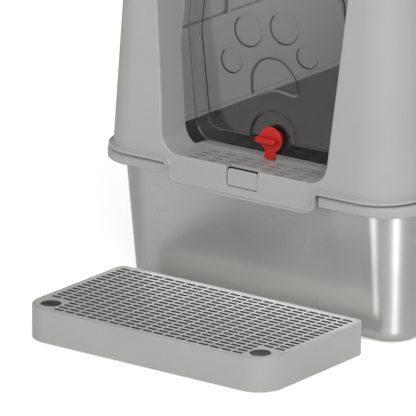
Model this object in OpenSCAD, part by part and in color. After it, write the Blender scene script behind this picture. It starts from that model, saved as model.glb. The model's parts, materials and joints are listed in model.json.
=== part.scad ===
// Enclosed cat litter box: a steel tub, a plastic hood that tilts back on a rear hinge,
// a clear swing flap with a red turn latch, and a loose floor step with a lift-off grid.
// Lengths are millimetres. +Z is up and the front faces -Y.
// The origin is on the floor, under the middle of the hood.

/* [Hood] */
// Width of the hood's wall at its foot
hood_w = 372; // [340:1:400]
// Depth of the hood's wall at its foot
hood_d = 490; // [460:1:540]
// Height from the hood's foot to the start of the roof's round shoulder
hood_rise = 217; // [212:1:240]
// Thickness of the hood's wall
hood_wall = 3; // [2.5:0.1:4]
// Inward lean of the side walls, in degrees
side_lean = 3.3; // [2.6:0.1:4]
// Inward lean of the front and rear walls, in degrees
front_lean = 3.7; // [3:0.1:4.4]
// Radius of the upright corners at the foot
foot_corner_r = 43; // [38:1:48]
// Radius of the shoulder and of the upright corners at the roof
roof_corner_r = 34; // [28:1:38]
// How far the lip round the hood's foot stands out
flange_lip = 5; // [4:0.5:6]
// Thickness of that lip
flange_t = 4.2; // [3.5:0.1:5]

/* [Doorway] */
// Half width of the doorway's front edge at the sill
door_half_w = 101; // [94:1:104]
// Height of the doorway above the sill's front edge
door_h = 201; // [197:1:201]
// Outward slope of the doorway's front edges, in degrees
door_flare = 5.8; // [5:0.1:6.4]
// Depth of the doorway's side walls behind the front wall
door_depth = 45; // [42:1:46]
// Height of the sill's front edge above the hood's foot
sill_rise = 11.2; // [10.6:0.1:12]
// Fall of the sill towards the inside, in degrees
sill_fall = 3.5; // [3:0.1:4]
// Length of one drain slot in the sill
sill_slot_l = 10; // [8:0.5:12]
// Width of one drain slot in the sill
sill_slot_w = 4; // [3:0.1:5]
// Distance of the first row of drain slots from the sill's front edge
sill_slot_in = 5.8; // [5:0.1:8]
// Spacing of the drain slots along the sill
sill_pitch_x = 21.4; // [18:0.2:24]
// Spacing of the rows of drain slots
sill_pitch_y = 11.1; // [9:0.1:12]
// Half width of the apron that hangs in front of the collar
apron_half_w = 93; // [80:1:96]
// Drop of the apron below the hood's foot
apron_drop = 19.3; // [16:0.1:22]

/* [Flap] */
// Half width of the flap at its lower edge
flap_half_w = 97.8; // [90:0.2:98]
// Thickness of the flap's sheet
flap_t = 2.5; // [2:0.1:3]
// How far the middle panel stands forward of the border
panel_step = 2; // [1:0.1:2.5]
// Width of the flat border round the panel
flap_border = 14.5; // [10:0.5:16]
// Radius of the steel rod that the flap hangs on
rod_r = 2; // [1.5:0.1:2.5]
// Running clearance of the flap on its rod, per side
rod_play = 0.08; // [0.04:0.01:0.1]
// How far the rod sits ahead of the sheet, so that the flap hangs upright
rod_set = 1.3; // [0:0.1:2]
// Gap between the sill and the flap's lower edge
flap_gap = 5.5; // [4.5:0.1:7]

/* [Latch] */
// Radius of the turn latch's disc
latch_r = 13.6; // [12:0.1:15]
// Height of the latch's axis above the flap's lower edge
latch_rise = 16.4; // [16:0.1:19]
// Thickness of the latch's disc
latch_t = 6.1; // [5:0.1:9]
// Height of the grip bar above the disc
grip_proud = 9.5; // [6:0.5:12]
// Width of the latch's tongue
tongue_w = 12.4; // [10:0.2:15]
// Radius of the latch's shaft
shaft_r = 4.5; // [3.5:0.1:5]
// Running clearance of the shaft in the flap, per side
shaft_play = 0.08; // [0.04:0.01:0.1]
// Radius of the plate that holds the latch from behind the flap
retainer_r = 7; // [6:0.1:11]

/* [Collar and tub] */
// Height of the tub's rim above the floor
rim_z = 152; // [140:1:180]
// Thickness of the tub's steel sheet
steel_t = 1.2; // [0.8:0.1:1.6]
// Inward lean of the tub's walls, in degrees
tub_lean = 4.86; // [3:0.1:6]
// Radius of the tub's upright corners under the rim
tub_corner_r = 45; // [42:1:48]
// Radius of the tub's upright corners at the foot
tub_foot_r = 33; // [30:1:38]
// Radius of the fillet round the tub's floor
tub_fillet_r = 13; // [8:1:18]
// Width of the steel rim that the collar sits on
rim_w = 4.6; // [4:0.1:5]
// Thickness of the anti-slip pads under the tub
pad_t = 1.5; // [1:0.1:2.5]
// How far the collar stands out past the hood's lip at the sides
collar_side = 5.4; // [3:0.1:7]
// How far the collar is set back behind the hood's lip at the front
collar_set = 4.5; // [3.5:0.1:6]
// Height of the collar's skirt
skirt_h = 11.5; // [9:0.5:14]
// Thickness of the collar's plate and skirt
collar_t = 2.6; // [2:0.1:3.2]
// Overhang of the collar past the tub's wall at the sides and back
side_overhang = 10; // [9.5:0.1:12]
// Overhang of the collar past the tub's wall at the front
front_overhang = 19.6; // [18:0.1:24]

/* [Rear hinge] */
// Radius of the hinge pins
pin_r = 2.5; // [2:0.1:3]
// Running clearance of a knuckle on its pin, per side
pin_play = 0.08; // [0.04:0.01:0.1]
// Radius of the hinge knuckles
knuckle_r = 6; // [5.5:0.1:6.5]
// Distance of each hinge from the middle of the back
hinge_x = 110; // [80:1:130]
// Width of the hood's knuckle
knuckle_w = 16; // [12:1:22]

/* [Front catch] */
// Half width of the window for the catch
catch_half_w = 19.8; // [16:0.2:24]
// Height of the catch's push plate
catch_h = 18; // [16:0.5:19]
// Radius of the catch's pivot pin
catch_pin_r = 1.2; // [1:0.1:1.4]

/* [Roof filter] */
// Width of the filter's opening in the roof
filter_w = 130; // [100:1:180]
// Depth of the filter's opening in the roof
filter_d = 84; // [60:1:120]
// Thickness of the carbon pad
filter_t = 10; // [6:1:14]

/* [Step] */
// Width of the step
step_w = 306.8; // [280:0.2:330]
// Depth of the step
step_d = 166.8; // [150:0.2:190]
// Height of the step with its pads
step_h = 35.6; // [30:0.2:44]
// Radius of the step's front corners
step_front_r = 29; // [24:1:34]
// Radius of the step's rear corners
step_back_r = 7.8; // [6:0.1:12]
// Thickness of the step's wall
step_wall = 2.4; // [2:0.1:3]
// Thickness of the grid
grid_t = 2.6; // [2:0.1:3.2]
// Columns of slots in the grid
grid_cols = 21; // [11:2:23]
// Rows of slots in the grid
grid_rows = 19; // [9:1:20]
// Spacing of the columns of slots
grid_pitch_x = 14; // [13.5:0.1:14.2]
// Spacing of the rows of slots
grid_pitch_y = 8.1; // [7.6:0.1:8.2]
// Length of one slot
slot_l = 12; // [9:0.1:12.4]
// Width of one slot
slot_w = 4.4; // [3:0.1:5]
// Diameter of the two finger holes
finger_d = 21.4; // [17:0.1:22]
// Distance of a finger hole from the step's side and front
finger_in = 22; // [20:0.5:24]
// Gap on the floor between the step and the foot of the tub
step_gap = 31.1; // [24:0.1:60]

/* [Hidden] */
$fn = 64;

GREY = [0.70, 0.70, 0.69];
STEEL = [0.78, 0.78, 0.77];
SMOKE = [0.30, 0.31, 0.32, 0.45];
RED = [0.86, 0.13, 0.08];
BLACK = [0.16, 0.16, 0.17];

gap = 0.3;                                   // seat and side clearance between separate pieces
hull_fn = 32;                                // roundness of the shells' corners
arc_n = 8;                                   // steps in one rounded corner of an outline

// Levels of the stack: tub rim, collar plate, hood foot
plate_z = rim_z + gap;                       // underside of the collar's plate
collar_z = plate_z + collar_t;               // top of the collar's plate
foot_z = collar_z + gap;                     // underside of the hood's lip
lip_z = foot_z + flange_t;                   // top of the hood's lip
apron_r = 10;                                // radius of the apron's lower corners
shoulder_z = foot_z + hood_rise;             // start of the roof's shoulder
roof_z = shoulder_z + roof_corner_r;         // top of the roof
band_rise = 88;                              // height of the stiffening band above the hood's foot
band_h = 12;
band_in = 12;                                // how far it stands inside the outline of the hood's foot

flange_w = hood_w + 2 * flange_lip;
flange_d = hood_d + 2 * flange_lip;
collar_w = flange_w + 2 * collar_side;
collar_d = flange_d - 2 * collar_set;
collar_r = foot_corner_r + flange_lip + 2;
skirt_z = collar_z - skirt_h;                // lower edge of the collar's skirt
shelf_w = 20;                                // width of the collar's plate
upstand_play = 3;                            // room between the hood's wall and the upstand inside it

tub_w = collar_w - 2 * side_overhang;        // across the tub's wall under its rim
tub_front = -collar_d / 2 + front_overhang;  // the tub's front wall under its rim
tub_back = collar_d / 2 - side_overhang;
tub_d = tub_back - tub_front;
tub_y = (tub_front + tub_back) / 2;
tub_draft = (rim_z - pad_t - tub_fillet_r) * tan(tub_lean);
pad_r = 14;
pad_in = 60;                                 // distance of the corner pads from the tub's foot
clip_w = 20;                                 // width of one collar clip
clip_t = 2;
clip_drop = 7.6;                             // reach of a clip below the collar's plate
clip_hook = 3;                               // length of its hook under the rim
clip_y = 120;                                // places of the clips along the sides
clip_x = 50;                                 // and along the front and back

// Doorway
front_y = -hood_d / 2;                       // outer face of the front wall at its foot
sill_z = foot_z + sill_rise;                 // front edge of the sill
door_back = front_y + door_depth;            // rear edge of the doorway's side walls
door_top = sill_z + door_h;
sill_tail_d = 28;                            // depth of the sill behind the doorway's side walls
ear_d = 22;                                  // depth of the ears that carry the rod
ear_rise = 102;                              // height of the ears' lower edge above the sill at its front
ear_slope = 3.9;                             // climb of that edge for each mm of depth
sill_back = door_back + sill_tail_d;
ear_back = door_back + ear_d;
ear_z = sill_z + ear_rise;
back_flare = 3.7;                            // slope of the doorway's rear edges
back_spread = 3.3;                           // how much wider they are than the front edges at the sill
back_half_w = door_half_w + back_spread;
door_bottom_r = 22;
door_top_r = 10;

// Flap and its rod
flap_y = door_back + 12;                     // front face of the flap's border
rod_y = flap_y + flap_t / 2 - rod_set;
flap_bottom = sill_top(flap_y) + flap_gap;
rod_drop = 12.5;                             // height of the doorway's top above the rod
rod_z = door_top - rod_drop;
hem_r = rod_r + 2.2;
hem_half = flap_half_w - 6;
flap_belly = 11.6;                           // how much wider the flap is at its widest than at its foot
flap_belly_z = 119;                          // height of that place above its lower edge
flap_shoulder = 3;                           // how much wider it is at its top
flap_radii = [22, 60, 8];                    // radii at its foot, its widest place and its top
ear_half = back_half_w + (rod_z - sill_z) * tan(back_flare);

// Latch
latch_z = flap_bottom + latch_rise;
disc_back = flap_y - gap;
disc_front = disc_back - latch_t;
tongue_front = disc_front - 0.8;
hub_r = latch_r - 4;                         // radius of the hub behind the latch's disc
plate_t = 2.6;                               // thickness of that disc
tongue_back = disc_back - 4;
tongue_clear = 0.75;                         // height of the tongue's tip above the sill
tongue_reach = latch_z - sill_top(tongue_front) - tongue_clear;
shaft_end = flap_y + flap_t + 0.4;
retainer_t = 2.4;
screw_r = 1.5;

// Rear hinge
hinge_y = flange_d / 2 + knuckle_r + 2;
hinge_z = foot_z + 1.7;
ear_w = 4;

// Front catch
catch_top = foot_z + 8.2;
catch_pin_z = foot_z + 3;
catch_y = front_at(catch_pin_z) + 1;         // outer face of the push plate
catch_t = 2;
spring_wire = 1;
spring_r = catch_pin_r + 0.4 + spring_wire / 2;
catch_pin_y = catch_y + catch_t + gap + spring_r + spring_wire / 2;
window_bottom = catch_top - catch_h - 0.7;
spring_turns = 7;
spring_pitch = 0.9;
spring_half = ((spring_turns - 1) * spring_pitch + spring_wire) / 2;

// Roof filter
basket_depth = 8;                            // depth of the basket beyond the carbon pad's
basket_wall = 2;
basket_lip = 6;                              // overlap of the basket's flange on the roof
vent_pitch = 12;                             // spacing of the vents

// Step
step_back = tub_foot_front() - step_gap;
step_y = step_back - step_d / 2;
step_pad_t = 1;
tray_h = step_h - step_pad_t;
grid_z = step_h - grid_t;
grid_w = step_w - 2 * step_wall - 2 * gap;
grid_d = step_d - 2 * step_wall - 2 * gap;

// Where the leaning front wall's outer face is at height z
function front_at(z) = front_y + (z - foot_z) * tan(front_lean);
// Height of the sill's upper face at depth y
function sill_top(y) = sill_z - (y - front_y) * tan(sill_fall);
function tub_foot_front() = tub_front + tub_draft;

function unit(v) = v / norm(v);
// The arc that rounds the corner at p between its neighbours a and b
function corner_arc(a, p, b, r) =
  let (
    u = unit(a - p),
    v = unit(b - p),
    half = acos(u * v) / 2,
    c = p + unit(u + v) * r / sin(half),
    s = p + u * r / tan(half) - c,
    e = p + v * r / tan(half) - c,
    start = atan2(s[1], s[0]),
    turn = (atan2(e[1], e[0]) - start + 540) % 360 - 180
  )
  [for (i = [0:arc_n]) c + r * [cos(start + turn * i / arc_n), sin(start + turn * i / arc_n)]];
// An outline with each corner rounded to its own radius
function rounded(pts, radii) =
  let (n = len(pts))
  [for (i = [0:n - 1]) each corner_arc(pts[(i + n - 1) % n], pts[i], pts[(i + 1) % n], radii[i])];
// Both sides of an outline that is given from the bottom up on its right side
function mirrored(side) =
  let (n = len(side))
  concat(side, [for (i = [n - 1:-1:0]) [-side[i][0], side[i][1]]]);
function doubled(list) =
  let (n = len(list))
  concat(list, [for (i = [n - 1:-1:0]) list[i]]);

// Outline of the doorway, grown by g; w is the half width at the sill
function door_outline(w, flare, low, g) =
  rounded(
    mirrored([[w + (low - g) * tan(flare) + g, low - g], [w + (door_h + g) * tan(flare) + g, door_h + g]]),
    doubled([door_bottom_r + g, door_top_r + g])
  );
// Outline of the flap, shrunk by g
function flap_outline(g) =
  rounded(
    mirrored([
      [flap_half_w - g, flap_bottom + g],
      [flap_half_w + flap_belly - g, flap_bottom + flap_belly_z],
      [flap_half_w + flap_shoulder - g, rod_z + hem_r + 0.8 - g]
    ]),
    doubled([flap_radii[0] - g / 3, flap_radii[1], flap_radii[2] - g / 3])
  );

// A slab with upright rounded corners, standing on z = 0
module slab(w, d, h, rf, rb) {
  translate([-w / 2 + rf, -d / 2, 0]) cube([w - 2 * rf, d / 2 + 1, h]);
  translate([-w / 2 + rb, -1, 0]) cube([w - 2 * rb, d / 2 + 1, h]);
  translate([-w / 2, -d / 2 + rf, 0]) cube([w, d - rf - rb, h]);
  for (s = [-1, 1]) {
    translate([s * (w / 2 - rf), -d / 2 + rf, 0]) cylinder(h = h, r = rf);
    translate([s * (w / 2 - rb), d / 2 - rb, 0]) cylinder(h = h, r = rb);
  }
}
// A ring: one slab with a smaller one taken out
module slab_ring(w, d, h, r, t) {
  difference() {
    slab(w, d, h, r, r);
    translate([0, 0, -1]) slab(w - 2 * t, d - 2 * t, h + 2, r - t, r - t);
  }
}
// A plate with an outline in X and Z, between two depths
module upright(y0, y1, pts) {
  translate([0, y1, 0]) rotate([90, 0, 0]) linear_extrude(y1 - y0) polygon(pts);
}
// A cylinder along X, centred on x
module x_rod(x, y, z, len, r) {
  translate([x - len / 2, y, z]) rotate([0, 90, 0]) cylinder(h = len, r = r);
}
// A cylinder along Y from y0 to y1
module y_rod(x, z, y0, y1, r) {
  translate([x, y1, z]) rotate([90, 0, 0]) cylinder(h = y1 - y0, r = r);
}
// Four discs or tori at the corners of a rectangle
module corners(w, d, r) {
  for (sx = [-1, 1], sy = [-1, 1])
    translate([sx * (w / 2 - r), sy * (d / 2 - r), 0]) children();
}

// The hood's smooth body, shrunk by g on every side
module hood_body(g) {
  drop = g > 0 ? 20 : 0;
  side_in = hood_rise * tan(side_lean);
  front_in = hood_rise * tan(front_lean);
  hull() {
    translate([0, 0, foot_z - drop]) corners(hood_w - 2 * g, hood_d - 2 * g, foot_corner_r - g)
      cylinder(h = 1, r = foot_corner_r - g, $fn = hull_fn);
    translate([0, 0, shoulder_z])
      corners(hood_w - 2 * (side_in + g), hood_d - 2 * (front_in + g), roof_corner_r - g)
        sphere(r = roof_corner_r - g, $fn = hull_fn);
  }
}

// The doorway's tunnel as one solid, grown by g, from past the front wall by ahead to y1
module door_tunnel(g, ahead, y1) {
  fall = (y1 - front_y) * tan(sill_fall);
  rise = sill_z - foot_z;
  hull() {
    translate([0, front_y, foot_z]) rotate([-front_lean, 0, 0]) translate([0, -ahead, rise])
      rotate([90, 0, 0]) linear_extrude(0.01) polygon(door_outline(door_half_w, door_flare, 0, g));
    translate([0, y1, sill_z]) rotate([90, 0, 0]) linear_extrude(0.01)
      polygon(door_outline(back_half_w, back_flare, -fall, g));
  }
}

// Ears behind the doorway's walls, which carry the flap's rod, and the roof over them
module door_ears() {
  difference() {
    translate([0, 0, sill_z])
      upright(door_back - 1, ear_back, door_outline(back_half_w, back_flare, 0, hood_wall));
    translate([0, 0, sill_z])
      upright(door_back - 2, ear_back + 1, door_outline(back_half_w, back_flare, 0, 0));
    // their lower edge climbs towards the back
    translate([-hood_w / 2, 0, 0]) rotate([90, 0, 90]) linear_extrude(hood_w)
      polygon([[door_back - 2, 0], [ear_back + 2, 0], [ear_back + 2, ear_z + (ear_d + 2) * ear_slope],
               [door_back, ear_z], [door_back - 2, ear_z]]);
  }
}

// The sill's floor behind the doorway's side walls
module sill_tail() {
  translate([-back_half_w + door_bottom_r, front_y, sill_z]) rotate([-sill_fall, 0, 0])
    translate([0, door_depth - 3, -hood_wall])
      cube([2 * (back_half_w - door_bottom_r), sill_back - door_back + 3, hood_wall - 0.05]);
}

// Drain slots in the sill: every row but the first runs right across
module sill_slots() {
  translate([0, front_y, sill_z]) rotate([-sill_fall, 0, 0])
    for (row = [0:3], col = [-3:3])
      if (row > 0 || abs(col) > 1)
        translate([col * sill_pitch_x, sill_slot_in + row * sill_pitch_y, 0])
          cube([sill_slot_l, sill_slot_w, 16], center = true);
}

// The apron hangs from the front wall and covers the catch; a lip runs round its edge
module apron() {
  low = foot_z - apron_drop;
  edge = flange_t / 2;
  outer = rounded(mirrored([[apron_half_w - 5, low], [apron_half_w, lip_z + 2]]), [apron_r, 2, 2, apron_r]);
  inner = rounded(mirrored([[apron_half_w - 5 - edge, low + edge], [apron_half_w - edge, lip_z + 8]]),
                  [apron_r - 2, 2, 2, apron_r - 2]);
  translate([0, front_y, foot_z]) rotate([-front_lean, 0, 0]) translate([0, 0, -foot_z]) {
    difference() {
      upright(0, hood_wall, outer);
      translate([-hood_w / 2, -1, lip_z + 1]) cube([hood_w, hood_wall + 2, 10]);
    }
    difference() {
      upright(-flange_lip + 0.6, 0.2, outer);
      upright(-flange_lip, 1, inner);
      translate([-hood_w / 2, -flange_lip - 1, lip_z]) cube([hood_w, flange_lip + 3, 20]);
    }
  }
}

// Knuckle block on the hood's rear lip
module hood_knuckles() {
  for (s = [-1, 1]) {
    difference() {
      union() {
        x_rod(s * hinge_x, hinge_y, hinge_z, knuckle_w, knuckle_r);
        translate([s * hinge_x - knuckle_w / 2, hood_d / 2 - 1, foot_z])
          cube([knuckle_w, hinge_y - hood_d / 2 + 1, flange_t]);
      }
      x_rod(s * hinge_x, hinge_y, hinge_z, knuckle_w + 2, pin_r + pin_play);
    }
  }
}

// Stiffening band that runs round the inside of the walls, behind the doorway
module stiff_band() {
  intersection() {
    translate([0, 0, foot_z + band_rise]) slab_ring(hood_w, hood_d, band_h, foot_corner_r, band_in);
    hood_body(1);
    translate([-hood_w / 2, ear_back, 0]) cube([hood_w, hood_d, roof_z]);
  }
}

// Lugs that hold the catch's pin behind the front wall
module catch_lugs() {
  for (s = [-1, 1])
    translate([s * (catch_half_w + 3) - 1.5, front_at(catch_pin_z) + 1, catch_pin_z - 2.5])
      cube([3, catch_pin_y - front_at(catch_pin_z) + 1.5, 5]);
}

module hood() {
  color(GREY) difference() {
    union() {
      difference() {
        union() {
          hood_body(0);
          difference() {
            translate([0, 0, foot_z]) slab(flange_w, flange_d, flange_t, foot_corner_r + flange_lip,
                                           foot_corner_r + flange_lip);
            translate([-apron_half_w + 3, -flange_d / 2 - 1, foot_z - 1])
              cube([2 * apron_half_w - 6, flange_lip + 1, flange_t + 2]);
          }
        }
        hood_body(hood_wall);
      }
      intersection() {
        door_tunnel(hood_wall, 0, door_back);
        hood_body(0);
      }
      door_ears();
      sill_tail();
      apron();
      hood_knuckles();
      catch_lugs();
      stiff_band();
    }
    door_tunnel(0, 8, door_back + 0.01);
    sill_slots();
    // window for the catch, open at the top of the sill's nose
    translate([-catch_half_w, front_y - 8, window_bottom])
      cube([2 * catch_half_w, 8 + hood_wall + 5.5, sill_z + 1 - window_bottom]);
    x_rod(0, catch_pin_y, catch_pin_z, 2 * catch_half_w + 9.2, catch_pin_r + 0.02);
    x_rod(0, rod_y, rod_z, 2 * ear_half + 30, rod_r + rod_play);
    translate([-filter_w / 2, -filter_d / 2, roof_z - 20]) cube([filter_w, filter_d, 40]);
  }
}

module hinge_pins() {
  color(STEEL) for (s = [-1, 1]) {
    x_rod(s * hinge_x, hinge_y, hinge_z, knuckle_w + 2 * ear_w + 3, pin_r);
    x_rod(s * (hinge_x + knuckle_w / 2 + ear_w + 2.3), hinge_y, hinge_z, 1.6, pin_r + 1.5);
  }
}

module tub_shell(g) {
  low_w = tub_w - 2 * tub_draft;
  low_d = tub_d - 2 * tub_draft;
  round_r = tub_fillet_r - g;
  top = g > 0 ? rim_z + 2 : rim_z;
  hull() {
    translate([0, tub_y, pad_t + tub_fillet_r])
      corners(low_w - 2 * g, low_d - 2 * g, tub_foot_r - g)
        rotate_extrude($fn = hull_fn)
          translate([tub_foot_r - g - round_r, 0]) circle(r = round_r, $fn = hull_fn);
    translate([0, tub_y, top - 1]) corners(tub_w - 2 * g, tub_d - 2 * g, tub_corner_r - g)
      cylinder(h = 1, r = tub_corner_r - g, $fn = hull_fn);
  }
}

module tub() {
  color(STEEL) difference() {
    union() {
      tub_shell(0);
      translate([0, tub_y, rim_z - steel_t])
        slab(tub_w + 2 * rim_w, tub_d + 2 * rim_w, steel_t, tub_corner_r + rim_w, tub_corner_r + rim_w);
      translate([0, tub_y, rim_z - 5])
        slab_ring(tub_w + 2 * rim_w, tub_d + 2 * rim_w, 5, tub_corner_r + rim_w, steel_t);
    }
    tub_shell(steel_t);
  }
}

// Pads near the tub's corners, and one under the middle of the floor
module tub_pads() {
  color(BLACK) {
    cylinder(h = pad_t, r = pad_r);
    for (sx = [-1, 1], sy = [-1, 1])
      translate([sx * (tub_w / 2 - tub_draft - pad_in), tub_y + sy * (tub_d / 2 - tub_draft - pad_in), 0])
        cylinder(h = pad_t, r = pad_r);
  }
}

module rim_collar() {
  pocket = apron_half_w + 3;
  pocket_back = catch_y + catch_t + 0.8;
  color(GREY) difference() {
    union() {
      translate([0, 0, plate_z]) slab_ring(collar_w, collar_d, collar_t, collar_r, shelf_w);
      translate([0, 0, skirt_z]) slab_ring(collar_w, collar_d, skirt_h, collar_r, collar_t);
      // back wall of the pocket that the apron hangs in
      translate([-pocket - collar_t, pocket_back, skirt_z])
        cube([2 * (pocket + collar_t), collar_t, skirt_h]);
      for (s = [-1, 1])
        translate([s * (pocket + collar_t / 2) - collar_t / 2, -collar_d / 2 + 1, skirt_z])
          cube([collar_t, pocket_back + collar_d / 2, skirt_h]);
      // upstand that the hood closes over at the sides and back
      difference() {
        translate([0, 0, collar_z - 0.5]) slab_ring(hood_w - 2 * (hood_wall + upstand_play),
                                                    hood_d - 2 * (hood_wall + upstand_play), 5,
                                                    foot_corner_r - hood_wall, 2);
        translate([-hood_w / 2, -hood_d / 2, collar_z - 1]) cube([hood_w, hood_d / 2 - 60, 10]);
      }
      // ears for the hinge pins
      for (s = [-1, 1], e = [-1, 1]) {
        x = s * hinge_x + e * (knuckle_w / 2 + gap + ear_w / 2);
        x_rod(x, hinge_y, hinge_z, ear_w, knuckle_r);
        translate([x - ear_w / 2, collar_d / 2 - 1, skirt_z])
          cube([ear_w, hinge_y - collar_d / 2 + 1, skirt_h - 0.8]);
      }
    }
    for (s = [-1, 1]) x_rod(s * hinge_x, hinge_y, hinge_z, knuckle_w + 30, pin_r + 0.02);
    translate([-pocket, -collar_d, skirt_z - 1]) cube([2 * pocket, collar_d + pocket_back, 30]);
    // room for the catch's lugs and nose
    translate([-catch_half_w - 6, -collar_d / 2, skirt_z - 1])
      cube([2 * catch_half_w + 12, 9.4, skirt_h - collar_t + 1]);
  }
}

// Snap clips that hold the collar down on the tub's rim
module collar_clip() {
  translate([-clip_w / 2, gap, -clip_drop - gap]) cube([clip_w, clip_t, clip_drop + gap]);
  translate([-clip_w / 2, -clip_hook, -clip_drop - gap]) cube([clip_w, clip_hook + gap + 0.1, clip_t]);
}

module collar_clips() {
  color(GREY) {
    for (s = [-1, 1], y = [-clip_y, clip_y])
      translate([s * (tub_w / 2 + rim_w), tub_y + y, plate_z]) rotate([0, 0, -90 * s]) collar_clip();
    for (x = [-clip_x, clip_x]) {
      translate([x, tub_y + tub_d / 2 + rim_w, plate_z]) collar_clip();
      translate([x, tub_y - tub_d / 2 - rim_w, plate_z]) rotate([0, 0, 180]) collar_clip();
    }
  }
}

// Pull tab that turns on a pin; its nose hooks under the collar's plate
module front_catch() {
  nose_z = plate_z - 0.5;
  plate_half = catch_half_w - 0.8;
  barrel_in = spring_half + 0.8;
  barrel_w = plate_half - barrel_in;
  color(GREY) difference() {
    union() {
      translate([-plate_half, catch_y, catch_top - catch_h]) cube([2 * plate_half, catch_t, catch_h]);
      for (s = [-1, 1]) {
        x_rod(s * (barrel_in + barrel_w / 2), catch_pin_y, catch_pin_z, barrel_w, catch_pin_r + 1.3);
        translate([s * (barrel_in + barrel_w / 2) - barrel_w / 2, catch_y + 1, catch_pin_z - 1.5])
          cube([barrel_w, catch_pin_y - catch_y - 1, 3]);
      }
      translate([-12, catch_y + 1, nose_z - 2.4]) cube([24, catch_t + 1.2, 2.4]);
    }
    x_rod(0, catch_pin_y, catch_pin_z, 2 * catch_half_w, catch_pin_r + 0.08);
  }
}

// Torsion spring round the catch's pin: one leg behind the tab, one under the sill
module catch_spring() {
  color(STEEL) difference() {
    union() {
      x_rod(0, catch_pin_y, catch_pin_z, 2 * spring_half - 0.2, spring_r + spring_wire / 4);
      for (i = [0:spring_turns - 1])
        x_rod((i - (spring_turns - 1) / 2) * spring_pitch, catch_pin_y, catch_pin_z, spring_wire * 0.6,
              spring_r + spring_wire / 2);
      for (s = [-1, 1])
        translate([s * (spring_half - spring_wire / 2), catch_pin_y + s * (spring_r - 0.15), catch_pin_z])
          cylinder(h = 4.4, r = spring_wire / 2);
    }
    x_rod(0, catch_pin_y, catch_pin_z, 2 * spring_half + 1, spring_r - spring_wire / 2);
  }
}

module catch_pin() {
  color(STEEL) x_rod(0, catch_pin_y, catch_pin_z, 2 * catch_half_w + 9, catch_pin_r);
}

module flap() {
  color(SMOKE) difference() {
    union() {
      difference() {
        upright(flap_y, flap_y + flap_t, flap_outline(0));
        difference() {
          upright(flap_y - 1, flap_y + flap_t + 1, flap_outline(flap_border + flap_t));
          y_rod(0, latch_z, flap_y - 2, flap_y + flap_t + 2, latch_r + 16.5);
        }
      }
      difference() {
        upright(flap_y - panel_step, flap_y - panel_step + flap_t, flap_outline(flap_border));
        y_rod(0, latch_z, flap_y - 4, flap_y + 4, latch_r + 14);
      }
      x_rod(0, rod_y, rod_z, 2 * hem_half, hem_r);
    }
    x_rod(0, rod_y, rod_z, 2 * ear_half, rod_r + rod_play);
    y_rod(0, latch_z, flap_y - 2, flap_y + flap_t + 2, shaft_r + shaft_play);
  }
}

module flap_rod() {
  color(STEEL) x_rod(0, rod_y, rod_z, 2 * ear_half + 12, rod_r);
}

module rod_caps() {
  color(BLACK) for (s = [-1, 1]) difference() {
    x_rod(s * (ear_half + 6), rod_y, rod_z, 4, rod_r + 2);
    x_rod(s * (ear_half + 4), rod_y, rod_z, 4.4, rod_r + 0.02);
  }
}

// Turn latch: disc with a grip bar, a tongue that reaches the sill, and a shaft through the flap
module latch_knob() {
  color(RED) difference() {
    union() {
      y_rod(0, latch_z, disc_front, disc_front + plate_t, latch_r);
      y_rod(0, latch_z, disc_front, disc_back, hub_r);
      y_rod(0, latch_z, disc_front, shaft_end, shaft_r);
      translate([-latch_r - 0.6, disc_front - grip_proud, latch_z - 2.9])
        cube([2 * latch_r - 3, grip_proud + 1, 5.8]);
      intersection() {
        translate([-tongue_w / 2, tongue_front, latch_z - tongue_reach - 1])
          cube([tongue_w, tongue_back - tongue_front, tongue_reach + 1 - latch_r / 2]);
        y_rod(0, latch_z, tongue_front - 1, tongue_back + 1, tongue_reach);
      }
    }
    y_rod(0, latch_z, disc_back - 4, shaft_end + 1, screw_r);
  }
}

module latch_retainer() {
  color(RED) difference() {
    y_rod(0, latch_z, shaft_end, shaft_end + retainer_t, retainer_r);
    y_rod(0, latch_z, shaft_end - 1, shaft_end + retainer_t + 1, screw_r + 0.1);
  }
}

module latch_screw() {
  color(STEEL) {
    y_rod(0, latch_z, shaft_end - 5, shaft_end + retainer_t, screw_r - 0.04);
    y_rod(0, latch_z, shaft_end + retainer_t, shaft_end + retainer_t + 1.6, screw_r * 2);
  }
}

// Basket that hangs in the roof's opening and holds the carbon pad
module filter_basket() {
  w = filter_w - 2 * gap;
  d = filter_d - 2 * gap;
  h = filter_t + basket_depth;
  color(GREY) difference() {
    union() {
      translate([-w / 2, -d / 2, roof_z - h]) cube([w, d, h]);
      translate([0, 0, roof_z]) slab(filter_w + 2 * basket_lip, filter_d + 2 * basket_lip, 1.6, 8, 8);
    }
    translate([-w / 2 + basket_wall, -d / 2 + basket_wall, roof_z - h + basket_wall])
      cube([w - 2 * basket_wall, d - 2 * basket_wall, h + 4]);
    for (i = [-4:4]) translate([i * vent_pitch - 3, -d / 2 + 8, roof_z - h - 1]) cube([6, d - 16, 4]);
  }
}

module carbon_filter() {
  translate([-filter_w / 2 + 2 + 2 * gap, -filter_d / 2 + 2 + 2 * gap, roof_z - filter_t - 6 + 0.02])
    color(BLACK) cube([filter_w - 4 - 4 * gap, filter_d - 4 - 4 * gap, filter_t]);
}

module filter_cover() {
  color(GREY) difference() {
    union() {
      translate([0, 0, roof_z + 1.6 + gap]) slab(filter_w + 10, filter_d + 10, 3, 7, 7);
      translate([-filter_w / 2 + 3, -filter_d / 2 + 3, roof_z - 3]) cube([filter_w - 6, filter_d - 6, 6]);
    }
    translate([-filter_w / 2 + 5, -filter_d / 2 + 5, roof_z - 4]) cube([filter_w - 10, filter_d - 10, 5.9]);
    for (i = [-4:4])
      translate([i * vent_pitch - 2, -filter_d / 2 + 12, roof_z - 1]) cube([4, filter_d - 24, 8]);
  }
}

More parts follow.
